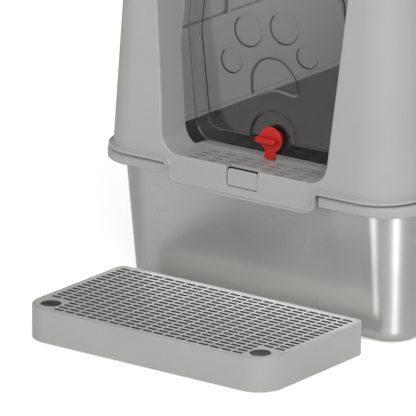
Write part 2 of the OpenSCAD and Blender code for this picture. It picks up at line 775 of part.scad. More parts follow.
module step_tray() {
  ledge = 5;
  color(GREY) translate([0, step_y, step_pad_t]) difference() {
    slab(step_w, step_d, tray_h, step_front_r, step_back_r);
    translate([0, 0, step_wall])
      slab(step_w - 2 * (step_wall + ledge), step_d - 2 * (step_wall + ledge), tray_h,
           step_front_r - step_wall - ledge, step_back_r - step_wall);
    translate([0, 0, tray_h - grid_t - gap]) slab(step_w - 2 * step_wall, step_d - 2 * step_wall, tray_h,
                                                  step_front_r - step_wall, step_back_r - step_wall);
  }
}

// The grid lies in the tray's rebate; its corner slots give way to the finger holes
module step_grid() {
  finger_x = step_w / 2 - finger_in;
  finger_y = -step_d / 2 + finger_in;
  last_y = (grid_rows - 1) * grid_pitch_y / 2;
  color(GREY) translate([0, step_y, grid_z]) difference() {
    slab(grid_w, grid_d, grid_t, step_front_r - step_wall - gap, step_back_r - step_wall - gap);
    for (col = [0:grid_cols - 1], row = [0:grid_rows - 1]) {
      x = (col - (grid_cols - 1) / 2) * grid_pitch_x;
      y = row * grid_pitch_y - last_y;
      if (abs(x) < finger_x - slot_l || y > finger_y + finger_d * 0.75)
        translate([x - slot_l / 2, y - slot_w / 2, -1]) cube([slot_l, slot_w, grid_t + 2]);
    }
    for (s = [-1, 1]) translate([s * finger_x, finger_y, -1]) cylinder(h = grid_t + 2, r = finger_d / 2);
  }
}

module step_pads() {
  color(BLACK) for (sx = [-1, 1], sy = [-1, 1])
    translate([sx * (step_w / 2 - 36), step_y + sy * (step_d / 2 - 30), 0]) cylinder(h = step_pad_t, r = 9);
}

tub();
tub_pads();
rim_collar();
collar_clips();
hood();
hinge_pins();
front_catch();
catch_pin();
catch_spring();
flap();
flap_rod();
rod_caps();
latch_knob();
latch_retainer();
latch_screw();
filter_basket();
carbon_filter();
filter_cover();
step_tray();
step_grid();
step_pads();
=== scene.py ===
# %% [markdown]
# # An enclosed cat litter box with a loose step
#
# The real thing is a steel tub with a plastic hood over it. A clear flap hangs in the hood's doorway, and a
# red latch turns on it. A low step with a slotted grid stands on the floor ahead of the tub.
# The CAD frame gives every place and size. Here each visible piece is modelled again with soft edges,
# and gets its finish.

# %% Load the frame
import json
import math

import bmesh
import bpy
from mathutils import Matrix, Vector


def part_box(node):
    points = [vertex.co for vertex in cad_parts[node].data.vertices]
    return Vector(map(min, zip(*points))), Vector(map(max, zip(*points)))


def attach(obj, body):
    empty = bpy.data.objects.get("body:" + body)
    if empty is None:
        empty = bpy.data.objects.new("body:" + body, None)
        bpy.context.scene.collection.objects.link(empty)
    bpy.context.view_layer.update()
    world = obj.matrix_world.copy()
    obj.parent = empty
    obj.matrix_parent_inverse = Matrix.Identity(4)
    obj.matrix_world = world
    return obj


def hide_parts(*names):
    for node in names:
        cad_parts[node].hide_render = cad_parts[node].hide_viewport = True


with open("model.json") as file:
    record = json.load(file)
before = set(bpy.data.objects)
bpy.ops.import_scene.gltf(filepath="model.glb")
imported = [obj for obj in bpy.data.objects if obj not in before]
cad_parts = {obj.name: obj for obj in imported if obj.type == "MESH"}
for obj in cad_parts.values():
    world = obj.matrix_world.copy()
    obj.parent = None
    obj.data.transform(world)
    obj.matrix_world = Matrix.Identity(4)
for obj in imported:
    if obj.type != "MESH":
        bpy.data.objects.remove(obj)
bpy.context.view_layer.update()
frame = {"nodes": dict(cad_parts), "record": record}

# %% [markdown]
# ## Millimetres
#
# The pieces are drawn in millimetres, as a maker would, and made metres at the very end. The sizes that the
# frame knows are read from its boxes, so they can't drift away from the CAD. The others are named here.

# %% Sizes from the frame
MM = 0.001


def box_mm(node):
    low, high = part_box(node)
    return low / MM, high / MM


hood_low, hood_high = box_mm("hood")
collar_low, collar_high = box_mm("rim_collar")
tub_low, tub_high = box_mm("tub")
flap_low = box_mm("flap")[0]
rod_low, rod_high = box_mm("flap_rod")
tray_low, tray_high = box_mm("step_tray")
grid_low = box_mm("step_grid")[0]
knob_low, knob_high = box_mm("latch_knob")
catch_low, catch_high = box_mm("front_catch")
print("hood lip", hood_high.x - hood_low.x, "collar", collar_high.x - collar_low.x)

# %% Sizes of the hood
WALL = 3.0
LIP = 5.0
LIP_T = 4.2
ROOF_Z = hood_high.z
FOOT_Z = tub_high.z + 3.2
LIP_Z = FOOT_Z + LIP_T
EDGE_T = 2.2
EDGE_Z = LIP_Z - EDGE_T
RIDGE_W, RIDGE_H = 1.8, 0.8
SHOULDER_R = 34.0
HOOD_RISE = ROOF_Z - SHOULDER_R - FOOT_Z
FOOT_R = 43.0
HALF_W = hood_high.x - LIP
HALF_D = 245.0
SIDE_LEAN = math.tan(math.radians(3.3))
FRONT_LEAN = math.tan(math.radians(3.7))
print("hood rises", round(HOOD_RISE, 1), "to its shoulder at", round(ROOF_Z - SHOULDER_R, 1))

# %% [markdown]
# ## Tools for drawing
#
# Most of this object's pieces are mouldings and pressings: a section that runs round a rounded rectangle.
# A good way to make one is to draw a quarter. The section is a wire with a few corners, each rounded by a
# vertex bevel. It is spun a quarter turn about the corner's axis, both ends are pulled to the middle, and
# the quarter is mirrored. The corners come out truly round, and the flats truly flat.


# %% Rounded wires and faces
def round_corners(bm, verts, radii, closed, steps):
    """Round each corner of a wire or face to its own radius."""
    spots = [v.co.copy() for v in verts]
    count = len(verts)
    for i, vert in enumerate(verts):
        if radii[i] <= 0 or (not closed and i in (0, count - 1)):
            continue
        back = spots[i - 1] - spots[i]
        ahead = spots[(i + 1) % count] - spots[i]
        half = back.angle(ahead) / 2
        bmesh.ops.bevel(bm, geom=[vert], offset=radii[i] / math.tan(half), offset_type="OFFSET",
                        segments=steps if radii[i] > 6 else 4, profile=0.5, affect="VERTICES", material=-1)


def draw_wire(bm, points, radii, closed=True, steps=10):
    """A wire through the points, with rounded corners."""
    verts = [bm.verts.new(p) for p in points]
    for a, b in zip(verts, verts[1:]):
        bm.edges.new((a, b))
    if closed:
        bm.edges.new((verts[-1], verts[0]))
    round_corners(bm, verts, radii, closed, steps)


def draw_face(bm, points, radii, steps=8):
    """A flat face with rounded corners; returns it."""
    others = set(bm.faces)
    face = bm.faces.new([bm.verts.new(p) for p in points])
    round_corners(bm, list(face.verts), radii, True, steps)
    return next(f for f in bm.faces if f not in others)


def pull(bm, face, shift):
    """Extrude a face into a solid along shift."""
    made = bmesh.ops.extrude_face_region(bm, geom=[face], use_keep_orig=True)
    moved = [g for g in made["geom"] if isinstance(g, bmesh.types.BMVert)]
    bmesh.ops.translate(bm, vec=shift, verts=moved)


def mirrored(side):
    """An outline given on its right side, with its left side added."""
    return side + [(-x, z, r) for x, z, r in reversed(side)]


# %% A quarter of a moulding
def sweep_quarter(profile, centre, leans=(0, 0), steps=16):
    """Spin a section about a corner's axis, and pull both ends to the middle.

    profile is a wire of (distance from the corner's axis, height, radius), open if it starts on the axis.
    """
    bm = bmesh.new()
    draw_wire(bm, [(centre[0] + out, centre[1], z) for out, z, r in profile], [r for out, z, r in profile],
              profile[0][0] > 0)
    start = bm.edges[:]
    spun = bmesh.ops.spin(bm, geom=bm.verts[:] + bm.edges[:], cent=(centre[0], centre[1], 0), axis=(0, 0, 1),
                          dvec=(0, 0, 0), angle=math.pi / 2, steps=steps, use_merge=False,
                          use_normal_flip=False, use_duplicate=False)
    end = [g for g in spun["geom_last"] if isinstance(g, bmesh.types.BMEdge)]
    for v in bm.verts:
        v.co.x -= leans[0] * (v.co.z - FOOT_Z)
        v.co.y -= leans[1] * (v.co.z - FOOT_Z)
    for edges, along in ((start, 1), (end, 0)):
        made = bmesh.ops.extrude_edge_only(bm, edges=edges)
        for v in made["geom"]:
            if isinstance(v, bmesh.types.BMVert):
                v.co[along] = 0
    bmesh.ops.remove_doubles(bm, verts=bm.verts, dist=0.01)
    return bm


def add_mesh(bm, other):
    """Put the other bmesh into this one."""
    mesh = bpy.data.meshes.new("part")
    other.to_mesh(mesh)
    bm.from_mesh(mesh)
    bpy.data.meshes.remove(mesh)
    other.free()


def both_ends(bm):
    """A quarter and its mirror image across the middle of the depth."""
    other = bm.copy()
    bmesh.ops.scale(other, vec=(1, -1, 1), verts=other.verts)
    add_mesh(bm, other)
    return bm


def close_up(bm, flats=()):
    """Mirror the right half, merge the seams, fill the flats at the given heights and face outwards."""
    bmesh.ops.mirror(bm, geom=bm.verts[:] + bm.edges[:] + bm.faces[:], matrix=Matrix.Identity(4),
                     merge_dist=0.01, axis="X")
    bmesh.ops.remove_doubles(bm, verts=bm.verts, dist=0.01)
    for z in flats:
        rim = [e for e in bm.edges if e.is_boundary and all(abs(v.co.z - z) < 0.3 for v in e.verts)]
        bmesh.ops.holes_fill(bm, edges=rim, sides=0)
    bmesh.ops.recalc_face_normals(bm, faces=bm.faces)
    return bm


# %% From a drawing to a piece
def to_object(bm, name):
    """A Blender object in metres, at the origin."""
    bmesh.ops.scale(bm, vec=(MM, MM, MM), verts=bm.verts)
    mesh = bpy.data.meshes.new(name)
    bm.to_mesh(mesh)
    bm.free()
    piece = bpy.data.objects.new(name, mesh)
    bpy.context.scene.collection.objects.link(piece)
    return piece


def bake(piece):
    """Apply the piece's modifiers."""
    graph = bpy.context.evaluated_depsgraph_get()
    shaped = bpy.data.meshes.new_from_object(piece.evaluated_get(graph))
    piece.modifiers.clear()
    piece.data = shaped


def use(piece, tool, how):
    """Combine a piece with another object, which is used up."""
    step = piece.modifiers.new("carve", "BOOLEAN")
    step.operation = how
    step.solver = "EXACT"
    step.object = tool
    bake(piece)
    bpy.data.objects.remove(tool)


def carve(piece, bm, how="DIFFERENCE", wall_painted_shade=None):
    """Cut a drawing out of a piece, or weld it on with how="UNION".

    The cut's walls may get a material of their own, a darker grey that paints the shade inside the cut.
    """
    for face in bm.faces:
        face.material_index = 1 if wall_painted_shade else 0
    tool = to_object(bm, "tool")
    if wall_painted_shade:
        for mesh in (piece.data, tool.data):
            while len(mesh.materials) < 2:
                mesh.materials.append(wall_painted_shade)
    use(piece, tool, how)


def soften(piece, width, angle=30, steps=3):
    """Round every edge that is sharper than the angle, and shade the faces smooth.

    Points that all but touch are merged first, because they would leave dark specks in the shading.
    """
    if width:
        edge = piece.modifiers.new("edge", "BEVEL")
        edge.width = width * MM
        edge.segments = steps
        edge.limit_method = "ANGLE"
        edge.angle_limit = math.radians(angle)
        edge.miter_outer = "MITER_ARC"
        bake(piece)
    bm = bmesh.new()
    bm.from_mesh(piece.data)
    bmesh.ops.remove_doubles(bm, verts=bm.verts, dist=0.004 * MM)
    bmesh.ops.dissolve_degenerate(bm, dist=0.002 * MM, edges=bm.edges)
    bm.to_mesh(piece.data)
    bm.free()
    piece.data.shade_smooth()
    piece.data.set_sharp_from_angle(angle=math.radians(angle))
    flat = piece.modifiers.new("flat", "WEIGHTED_NORMAL")
    flat.keep_sharp = True
    flat.weight = 100
    bake(piece)


def finish_piece(piece, finish, body, slot, *nodes):
    """Give a piece its finish, its body and the CAD nodes that it stands for."""
    if piece.data.materials:
        piece.data.materials[0] = finish
    else:
        piece.data.materials.append(finish)
    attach(piece, body)
    if nodes:
        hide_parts(*nodes)
    print(piece.name, len(piece.data.polygons), "faces")


# %% [markdown]
# ## Camera
#
# The view is a long lens from the front right, a little above. It was worked out from the straight edges of
# the step and the tub.

# %% Camera
camera_data = bpy.data.cameras.new("camera")
camera_data.lens = 524.9
camera_data.sensor_width = 36
camera_data.clip_end = 30
camera = bpy.data.objects.new("camera", camera_data)
camera.location = (3.498, -4.940, 1.917)
camera.rotation_euler = (math.radians(72.98), 0, math.radians(37.02))
bpy.context.scene.collection.objects.link(camera)
bpy.context.scene.camera = camera
print("camera", [round(v, 3) for v in camera.location])

# %% [markdown]
# ## Light and floor
#
# A studio for plain products: an even sky, a large soft key lamp from the front right, and two weaker lamps
# for the front and the right side. A small lamp in the hood shows the walls behind the clear flap. Steel
# needs something to mirror, so tall strips light the tub alone and show there as upright streaks. Floor and
# sky look white to the camera, and the floor does so through the clear flap too. To all else they give only
# plain light.

# %% World
scene = bpy.context.scene
scene.view_settings.view_transform = "Standard"
world = bpy.data.worlds.new("studio")
scene.world = world
world.use_nodes = True
nodes, links = world.node_tree.nodes, world.node_tree.links
nodes.clear()
sky = nodes.new("ShaderNodeBackground")
sky.inputs["Color"].default_value = (1, 1, 1, 1)
sky.inputs["Strength"].default_value = 0.45
white = nodes.new("ShaderNodeBackground")
white.inputs["Color"].default_value = (1, 1, 1, 1)
white.inputs["Strength"].default_value = 1.0
path = nodes.new("ShaderNodeLightPath")
pick = nodes.new("ShaderNodeMixShader")
out = nodes.new("ShaderNodeOutputWorld")
links.new(path.outputs["Is Camera Ray"], pick.inputs["Fac"])
links.new(sky.outputs["Background"], pick.inputs[1])
links.new(white.outputs["Background"], pick.inputs[2])
links.new(pick.outputs["Shader"], out.inputs["Surface"])
print("sky", sky.inputs["Strength"].default_value)


# %% Lamps
def softbox(name, place, target, width, height, power):
    """A rectangular lamp that faces its target."""
    lamp = bpy.data.lights.new(name, "AREA")
    lamp.shape = "RECTANGLE"
    lamp.size, lamp.size_y = width, height
    lamp.energy = power
    spot = bpy.data.objects.new(name, lamp)
    spot.location = place
    spot.rotation_euler = (Vector(target) - Vector(place)).to_track_quat("-Z", "Y").to_euler()
    spot.visible_camera = False
    scene.collection.objects.link(spot)
    return spot


steel_only = bpy.data.collections.new("steel_only")
STRIP_H, STRIP_Z = 1.86, 0.95


def strip(name, about, azimuth, distance, width, power):
    """A tall strip lamp on the floor, for the steel tub alone: it shows there as an upright streak."""
    turn = math.radians(azimuth)
    place = (about[0] + distance * math.cos(turn), about[1] + distance * math.sin(turn), STRIP_Z)
    spot = softbox(name, place, (*about, STRIP_Z), width, STRIP_H, power)
    spot.light_linking.receiver_collection = steel_only


MIDDLE = (0, 0, 0.2)


def around(azimuth, height, distance):
    """A place round the object's middle, by the angle round it and the angle above it."""
    turn, rise = math.radians(azimuth), math.radians(height)
    return (distance * math.cos(turn) * math.cos(rise), distance * math.sin(turn) * math.cos(rise),
            MIDDLE[2] + distance * math.sin(rise))


softbox("key", around(-45, 32, 5.0), MIDDLE, 3.0, 2.4, 128)
softbox("front_fill", around(-105, 20, 4.0), MIDDLE, 1.6, 1.6, 24)
softbox("right_fill", around(10, 20, 4.0), MIDDLE, 1.6, 1.6, 14)
inside = softbox("inside", (0.12, 0.06, 0.33), (-0.18, -0.02, 0.27), 0.1, 0.1, 0.46)
inside.visible_glossy = False
inside.visible_transmission = False
front_right, front_left = (0.14, -0.18), (-0.17, -0.24)
strip("front_strip", front_right, -105, 2.2, 0.16, 150)
strip("corner_strip", front_right, -45, 3.0, 0.56, 260)
strip("left_strip", front_left, -127, 1.0, 0.14, 3.5)
print("lamps", sorted(lamp.name for lamp in bpy.data.lights))

# %% Floor
floor_bm = bmesh.new()
FLOOR_HALF = 6000
bmesh.ops.create_grid(floor_bm, x_segments=1, y_segments=1, size=FLOOR_HALF)
floor = to_object(floor_bm, "floor")
paint = bpy.data.materials.new("floor_white")
paint.use_nodes = True
nodes, links = paint.node_tree.nodes, paint.node_tree.links
nodes.clear()
plain = nodes.new("ShaderNodeBsdfDiffuse")
plain.inputs["Color"].default_value = (0.82, 0.82, 0.82, 1)
glow = nodes.new("ShaderNodeEmission")
glow.inputs["Strength"].default_value = 0.55
lift = nodes.new("ShaderNodeAddShader")
path = nodes.new("ShaderNodeLightPath")
seen = nodes.new("ShaderNodeMath")
seen.operation = "MAXIMUM"
pick = nodes.new("ShaderNodeMixShader")
out = nodes.new("ShaderNodeOutputMaterial")
links.new(plain.outputs["BSDF"], lift.inputs[0])
links.new(glow.outputs["Emission"], lift.inputs[1])
links.new(path.outputs["Is Camera Ray"], seen.inputs[0])
links.new(path.outputs["Is Transmission Ray"], seen.inputs[1])
links.new(seen.outputs["Value"], pick.inputs["Fac"])
links.new(plain.outputs["BSDF"], pick.inputs[1])
links.new(lift.outputs["Shader"], pick.inputs[2])
links.new(pick.outputs["Shader"], out.inputs["Surface"])
floor.data.materials.append(paint)
print("floor", 2 * FLOOR_HALF * MM, "metres wide")

# %% [markdown]
# ## Finishes
#
# Moulded plastic isn't one flat colour. It has a fine grain, very faint clouds of colour, and a roughness
# that changes where hands touch it. Each finish starts from one function and adds what is its own.


# %% Moulded plastic
def new_finish(name):
    """A new material, with its nodes, its links and its main shader."""
    finish = bpy.data.materials.new(name)
    finish.use_nodes = True
    return finish, finish.node_tree.nodes, finish.node_tree.links, finish.node_tree.nodes["Principled BSDF"]


def noise(nodes, links, scale, detail):
    """Noise in the object's own metres."""
    place = nodes.new("ShaderNodeTexCoord")
    grain = nodes.new("ShaderNodeTexNoise")
    grain.inputs["Scale"].default_value = scale
    grain.inputs["Detail"].default_value = detail
    links.new(place.outputs["Object"], grain.inputs["Vector"])
    return grain.outputs["Fac"]


NOISE_LOW, NOISE_HIGH = 0.3, 0.7


def spread(nodes, links, source, low, high):
    """Map a noise to a range of values."""
    span = nodes.new("ShaderNodeMapRange")
    span.inputs["From Min"].default_value = NOISE_LOW
    span.inputs["From Max"].default_value = NOISE_HIGH
    span.inputs["To Min"].default_value = low
    span.inputs["To Max"].default_value = high
    links.new(source, span.inputs["Value"])
    return span.outputs["Result"]


def tint(nodes, links, source, dark, light):
    """A colour that drifts between two close shades."""
    ramp = nodes.new("ShaderNodeValToRGB")
    ramp.color_ramp.elements[0].position = NOISE_LOW
    ramp.color_ramp.elements[0].color = (*dark, 1)
    ramp.color_ramp.elements[1].position = NOISE_HIGH
    ramp.color_ramp.elements[1].color = (*light, 1)
    links.new(source, ramp.inputs["Fac"])
    return ramp.outputs["Color"]


def bump(nodes, links, source, strength, distance):
    """A fine relief."""
    relief = nodes.new("ShaderNodeBump")
    relief.inputs["Strength"].default_value = strength
    relief.inputs["Distance"].default_value = distance
    links.new(source, relief.inputs["Height"])
    return relief.outputs["Normal"]


def shades(colour, shift):
    """A darker and a lighter shade of a colour."""
    return tuple(c * (1 - shift) for c in colour), tuple(c * (1 + shift) for c in colour)


def plastic(name, colour, shift=0.02, rough=(0.42, 0.5), grain=0.05):
    """Moulded plastic: shift is how far its clouds of colour go, and grain how strong its relief is."""
    finish, nodes, links, surface = new_finish(name)
    cloud = noise(nodes, links, 14, 4)
    links.new(tint(nodes, links, cloud, *shades(colour, shift)), surface.inputs["Base Color"])
    links.new(spread(nodes, links, noise(nodes, links, 60, 2), *rough), surface.inputs["Roughness"])
    links.new(bump(nodes, links, noise(nodes, links, 1600, 2), grain, 0.0002), surface.inputs["Normal"])
    surface.inputs["IOR"].default_value = 1.46
    return finish


hood_grey = plastic("hood_plastic", (0.41, 0.41, 0.398))
collar_grey = plastic("collar_plastic", (0.41, 0.41, 0.398))
step_grey = plastic("step_plastic", (0.41, 0.41, 0.40))
latch_red = plastic("latch_plastic", (0.55, 0.012, 0.006), 0.05, (0.38, 0.46), 0.02)
# Painted shade: a dark grey for the walls of the step grid's slots and finger holes, where shade falls inside
# them.
grid_slot_painted_shade = plastic("grid_slot_painted_shade", (0.09, 0.09, 0.087), 0.1)
# Painted shade for the walls of the sill's drain slots, a lighter grey than in the grid.
sill_slot_painted_shade = plastic("sill_slot_painted_shade", (0.26, 0.26, 0.255), 0.05)
cap_black = plastic("cap_plastic", (0.03, 0.03, 0.03), 0.1)
rubber = plastic("pad_rubber", (0.035, 0.035, 0.04), 0.1, (0.6, 0.75), 0.3)
print("plastics", hood_grey.name, collar_grey.name, step_grey.name, latch_red.name)

# %% [markdown]
# ### Steel
#
# The tub is polished round its walls, so its fine scratches lie level and smear each lamp into an upright
# streak. Scratches drawn as a stretched noise would show as stripes. An anisotropic shader with a tangent
# that runs round the piece does the same smoothly, and soft clouds of roughness break it up a little.


# %% Steel
def steel(name, colour, rough, scale, across=0.0):
    """Bare steel with clouds in its roughness; across is how far its polish smears the lights upright."""
    finish, nodes, links, surface = new_finish(name)
    cloud = noise(nodes, links, scale, 3)
    links.new(tint(nodes, links, cloud, *shades(colour, 0.015)), surface.inputs["Base Color"])
    links.new(spread(nodes, links, noise(nodes, links, scale * 4, 4), *rough), surface.inputs["Roughness"])
    surface.inputs["Metallic"].default_value = 1.0
    grain = nodes.new("ShaderNodeTangent")
    grain.direction_type = "RADIAL"
    grain.axis = "Z"
    links.new(grain.outputs["Tangent"], surface.inputs["Tangent"])
    surface.inputs["Anisotropic"].default_value = across
    surface.inputs["Anisotropic Rotation"].default_value = 0.25
    return finish


tub_steel = steel("tub_steel", (0.46, 0.458, 0.448), (0.255, 0.275), 6, 0.65)
pin_steel = steel("pin_steel", (0.55, 0.55, 0.55), (0.25, 0.35), 120)
print("steel finishes", tub_steel.name, pin_steel.name)

# %% [markdown]
# ### Clear plastic
#
# The flap is a smoky clear sheet. Glass alone would throw a dark shadow and keep the hood's inside black, so
# shadow rays and diffuse rays meet a plain see-through shader, and all other rays meet the glass. The same
# sheet, made darker or lighter and less clear, gives its moulded edges painted shade and painted highlights.


# %% Clear plastic
SEE_THROUGH = (0.56, 0.565, 0.565, 1)


def clear_sheet(name, colour=(0.86, 0.865, 0.865), clear=1.0, shine=0.15, rough=(0.02, 0.05)):
    """Smoky clear sheet: polished, with a trace of haze that is uneven in the moulding."""
    finish, nodes, links, surface = new_finish(name)
    surface.inputs["Base Color"].default_value = (*colour, 1)
    surface.inputs["Transmission Weight"].default_value = clear
    surface.inputs["IOR"].default_value = 1.45
    surface.inputs["Specular IOR Level"].default_value = shine
    links.new(spread(nodes, links, noise(nodes, links, 25, 3), *rough), surface.inputs["Roughness"])
    see = nodes.new("ShaderNodeBsdfTransparent")
    see.inputs["Color"].default_value = SEE_THROUGH
    path = nodes.new("ShaderNodeLightPath")
    either = nodes.new("ShaderNodeMath")
    either.operation = "MAXIMUM"
    pick = nodes.new("ShaderNodeMixShader")
    links.new(path.outputs["Is Shadow Ray"], either.inputs[0])
    links.new(path.outputs["Is Diffuse Ray"], either.inputs[1])
    links.new(either.outputs["Value"], pick.inputs["Fac"])
    links.new(surface.outputs["BSDF"], pick.inputs[1])
    links.new(see.outputs["BSDF"], pick.inputs[2])
    links.new(pick.outputs["Shader"], nodes["Material Output"].inputs["Surface"])
    return finish


smoke = clear_sheet("smoke_sheet")
# Painted shade and a painted highlight for the flap's moulded edges: a dark sheet, and a light, less clear
# one.
painted_shade_edge = clear_sheet("smoke_painted_shade_edge", (0.08, 0.08, 0.08), 0.85, 0.3, (0.1, 0.15))
painted_highlight_edge = clear_sheet("smoke_painted_highlight_edge", (0.26, 0.262, 0.262), 0.5, 0.5, (0.2, 0.3))
print("clear finishes", smoke.name, painted_shade_edge.name, painted_highlight_edge.name)

# %% [markdown]
# ### Carbon felt
#
# The filter's pad is black felt. One fine noise gives its colour, its dull surface and its fluffy relief.


# %% Carbon felt
def felt(name):
    """Black felt."""
    finish, nodes, links, surface = new_finish(name)
    fluff = noise(nodes, links, 700, 6)
    links.new(tint(nodes, links, fluff, (0.012, 0.012, 0.013), (0.035, 0.035, 0.037)),
              surface.inputs["Base Color"])
    links.new(spread(nodes, links, fluff, 0.8, 0.95), surface.inputs["Roughness"])
    links.new(bump(nodes, links, fluff, 0.8, 0.0006), surface.inputs["Normal"])
    return finish


carbon = felt("carbon_felt")
print("felt", carbon.name)

# %% [markdown]
# ## Tub
#
# The tub is pressed from one steel sheet: a flat floor, a round foot, leaning walls and a rolled rim that
# the collar grips. Its upright corners are cones, because the walls lean and the corner's axis stays put.

# %% Tub
PAD_T = tub_low.z
STEEL_T = 1.2
FILLET = 13.0
RIM_W, RIM_T = 4.6, 4.0
TUB_R = 45.0
TUB_LEAN = math.tan(math.radians(4.86))
tub_half = (tub_high.x - tub_low.x) / 2 - RIM_W
tub_front = tub_low.y + RIM_W
tub_back = tub_high.y - RIM_W
tub_mid = (tub_front + tub_back) / 2
tub_half_d = (tub_back - tub_front) / 2
rim_z = tub_high.z


def tub_out(z):
    """Distance of the tub's wall from its corner's axis at height z."""
    return TUB_R - (rim_z - z) * TUB_LEAN


section = [
    (0, PAD_T, 0), (tub_out(PAD_T), PAD_T, FILLET), (tub_out(rim_z - RIM_T), rim_z - RIM_T, 1.5),
    (TUB_R + RIM_W, rim_z - RIM_T, 1.8), (TUB_R + RIM_W, rim_z, 1.8), (TUB_R - STEEL_T, rim_z, 1.0),
    (tub_out(PAD_T + STEEL_T) - STEEL_T, PAD_T + STEEL_T, FILLET - STEEL_T), (0, PAD_T + STEEL_T, 0),
]
bm = both_ends(sweep_quarter(section, (tub_half - TUB_R, tub_half_d - TUB_R)))
close_up(bm, (PAD_T, PAD_T + STEEL_T))
bmesh.ops.translate(bm, vec=(0, tub_mid, 0), verts=bm.verts)
tub = to_object(bm, "steel_tub")
soften(tub, 0, 40)
finish_piece(tub, tub_steel, "box", "tub_steel", "tub")
steel_only.objects.link(tub)

# %% [markdown]
# ## Collar
#
# A plastic band covers the tub's rim and carries the hood. Its outer edge has a soft shoulder. At the front
# a pocket takes the hood's apron, and at the back two pairs of ears hold the hinge pins. The band is swept
# like the tub, and the pocket and the ears are plain blocks that are cut out or welded on.

# %% Collar
COLLAR_T = 2.6
SHELF_W = 20.0
COLLAR_R = FOOT_R + LIP + 2
collar_half = collar_high.x
collar_front = collar_low.y
plate_z = rim_z + 0.3
collar_z = plate_z + COLLAR_T
skirt_z = collar_low.z
APRON_HALF = 93.0
APRON_DROP = 19.3
pocket_half = APRON_HALF + 3
pocket_back = catch_low.y + 2.8

section = [
    (COLLAR_R - SHELF_W, plate_z, 0.6), (COLLAR_R - COLLAR_T, plate_z, 1.5),
    (COLLAR_R - COLLAR_T, skirt_z, 0.8), (COLLAR_R, skirt_z, 0.9),
    (COLLAR_R, collar_z, 4.5), (COLLAR_R - SHELF_W, collar_z, 0.6),
]
bm = both_ends(sweep_quarter(section, (collar_half - COLLAR_R, -collar_front - COLLAR_R)))
collar = to_object(close_up(bm), "collar_band")


def block(low, high):
    """A plain box between two corners."""
    bm = bmesh.new()
    made = bmesh.ops.create_cube(bm, size=1)
    bmesh.ops.scale(bm, vec=Vector(high) - Vector(low), verts=made["verts"])
    bmesh.ops.translate(bm, vec=(Vector(high) + Vector(low)) / 2, verts=made["verts"])
    return bm


carve(collar, block((-pocket_half, collar_front - 20, skirt_z - 5),
                    (pocket_half, pocket_back, collar_z + 5)))
carve(collar, block((-pocket_half - COLLAR_T, pocket_back, skirt_z),
                    (pocket_half + COLLAR_T, pocket_back + COLLAR_T, collar_z - 0.1)), "UNION")
for side in (-1, 1):
    x = side * (pocket_half + COLLAR_T / 2)
    carve(collar, block((x - COLLAR_T / 2, collar_front + 1.5, skirt_z),
                        (x + COLLAR_T / 2, pocket_back + 1, collar_z - 0.2)), "UNION")

# %% Collar's hinge ears
HINGE_X, EAR_W, KNUCKLE_W, KNUCKLE_R, HINGE_GAP = 110.0, 4.0, 16.0, 6.0, 0.3
hinge_y = hood_high.y - KNUCKLE_R
hinge_z = FOOT_Z + 1.7


def barrel(x, y, z, length, radius, steps=32):
    """A closed cylinder along X."""
    bm = bmesh.new()
    bmesh.ops.create_cone(bm, cap_ends=True, segments=steps, radius1=radius, radius2=radius, depth=length)
    bmesh.ops.rotate(bm, cent=(0, 0, 0), matrix=Matrix.Rotation(math.pi / 2, 3, "Y"), verts=bm.verts)
    bmesh.ops.translate(bm, vec=(x, y, z), verts=bm.verts)
    return bm


for side in (-1, 1):
    for end in (-1, 1):
        x = side * HINGE_X + end * (KNUCKLE_W / 2 + HINGE_GAP + EAR_W / 2)
        carve(collar, block((x - EAR_W / 2, -collar_front - 1, skirt_z),
                            (x + EAR_W / 2, hinge_y, collar_z - 1)), "UNION")
        carve(collar, barrel(x, hinge_y, hinge_z, EAR_W, KNUCKLE_R), "UNION")
soften(collar, 0.5)
finish_piece(collar, collar_grey, "box", "collar_plastic", "rim_collar")

# %% [markdown]
# ## Hood shell
#
# The hood's walls lean in, and its upright corners get tighter towards the roof. The section leans a little
# by itself, and a shear adds the rest, so front and side each lean as they should. A lip runs round the foot,
# with a low ridge along its edge.

# %% Hood shell
corner_lean = (FOOT_R - SHOULDER_R) / HOOD_RISE
side_shear = SIDE_LEAN - corner_lean
front_shear = FRONT_LEAN - corner_lean


def corner_out(z, proud=0.0):
    """Distance of the hood's skin from the corner's axis at height z."""
    return FOOT_R + proud - (z - FOOT_Z) * corner_lean


def shoulder(out):
    """The radius that rounds the roof's edge right up to the corner's axis."""
    return (out - 0.3) * math.tan(math.pi / 4 + math.atan(corner_lean) / 2)


roof_out = corner_out(ROOF_Z)
INSET = 0.2
section = [
    (0, ROOF_Z - WALL, 0), (roof_out - WALL, ROOF_Z - WALL, shoulder(roof_out - WALL)),
    (corner_out(FOOT_Z, -WALL), FOOT_Z, 0), (corner_out(FOOT_Z, INSET), FOOT_Z, 0),
    (corner_out(EDGE_Z, INSET), EDGE_Z, 0), (corner_out(EDGE_Z, LIP), EDGE_Z, 0),
    (corner_out(LIP_Z, LIP), LIP_Z + RIDGE_H, 0.6), (corner_out(LIP_Z, LIP - RIDGE_W), LIP_Z + RIDGE_H, 0.6),
    (corner_out(LIP_Z, LIP - RIDGE_W - 0.4), LIP_Z, 0), (corner_out(LIP_Z), LIP_Z, 1.5),
    (roof_out, ROOF_Z, shoulder(roof_out)), (0, ROOF_Z, 0),
]
bm = both_ends(sweep_quarter(section, (HALF_W - FOOT_R, HALF_D - FOOT_R), (side_shear, front_shear)))
hood = to_object(close_up(bm, (ROOF_Z, ROOF_Z - WALL)), "hood_shell")

# %% [markdown]
# ## Doorway
#
# The doorway is a short tunnel. Two rounded openings, one in the leaning front wall and one upright at the
# back, are bridged into a solid. A thicker one is welded to the hood, and the thinner one is cut out of it.
# Behind it the side walls and the roof run on, above a slanting lower edge.

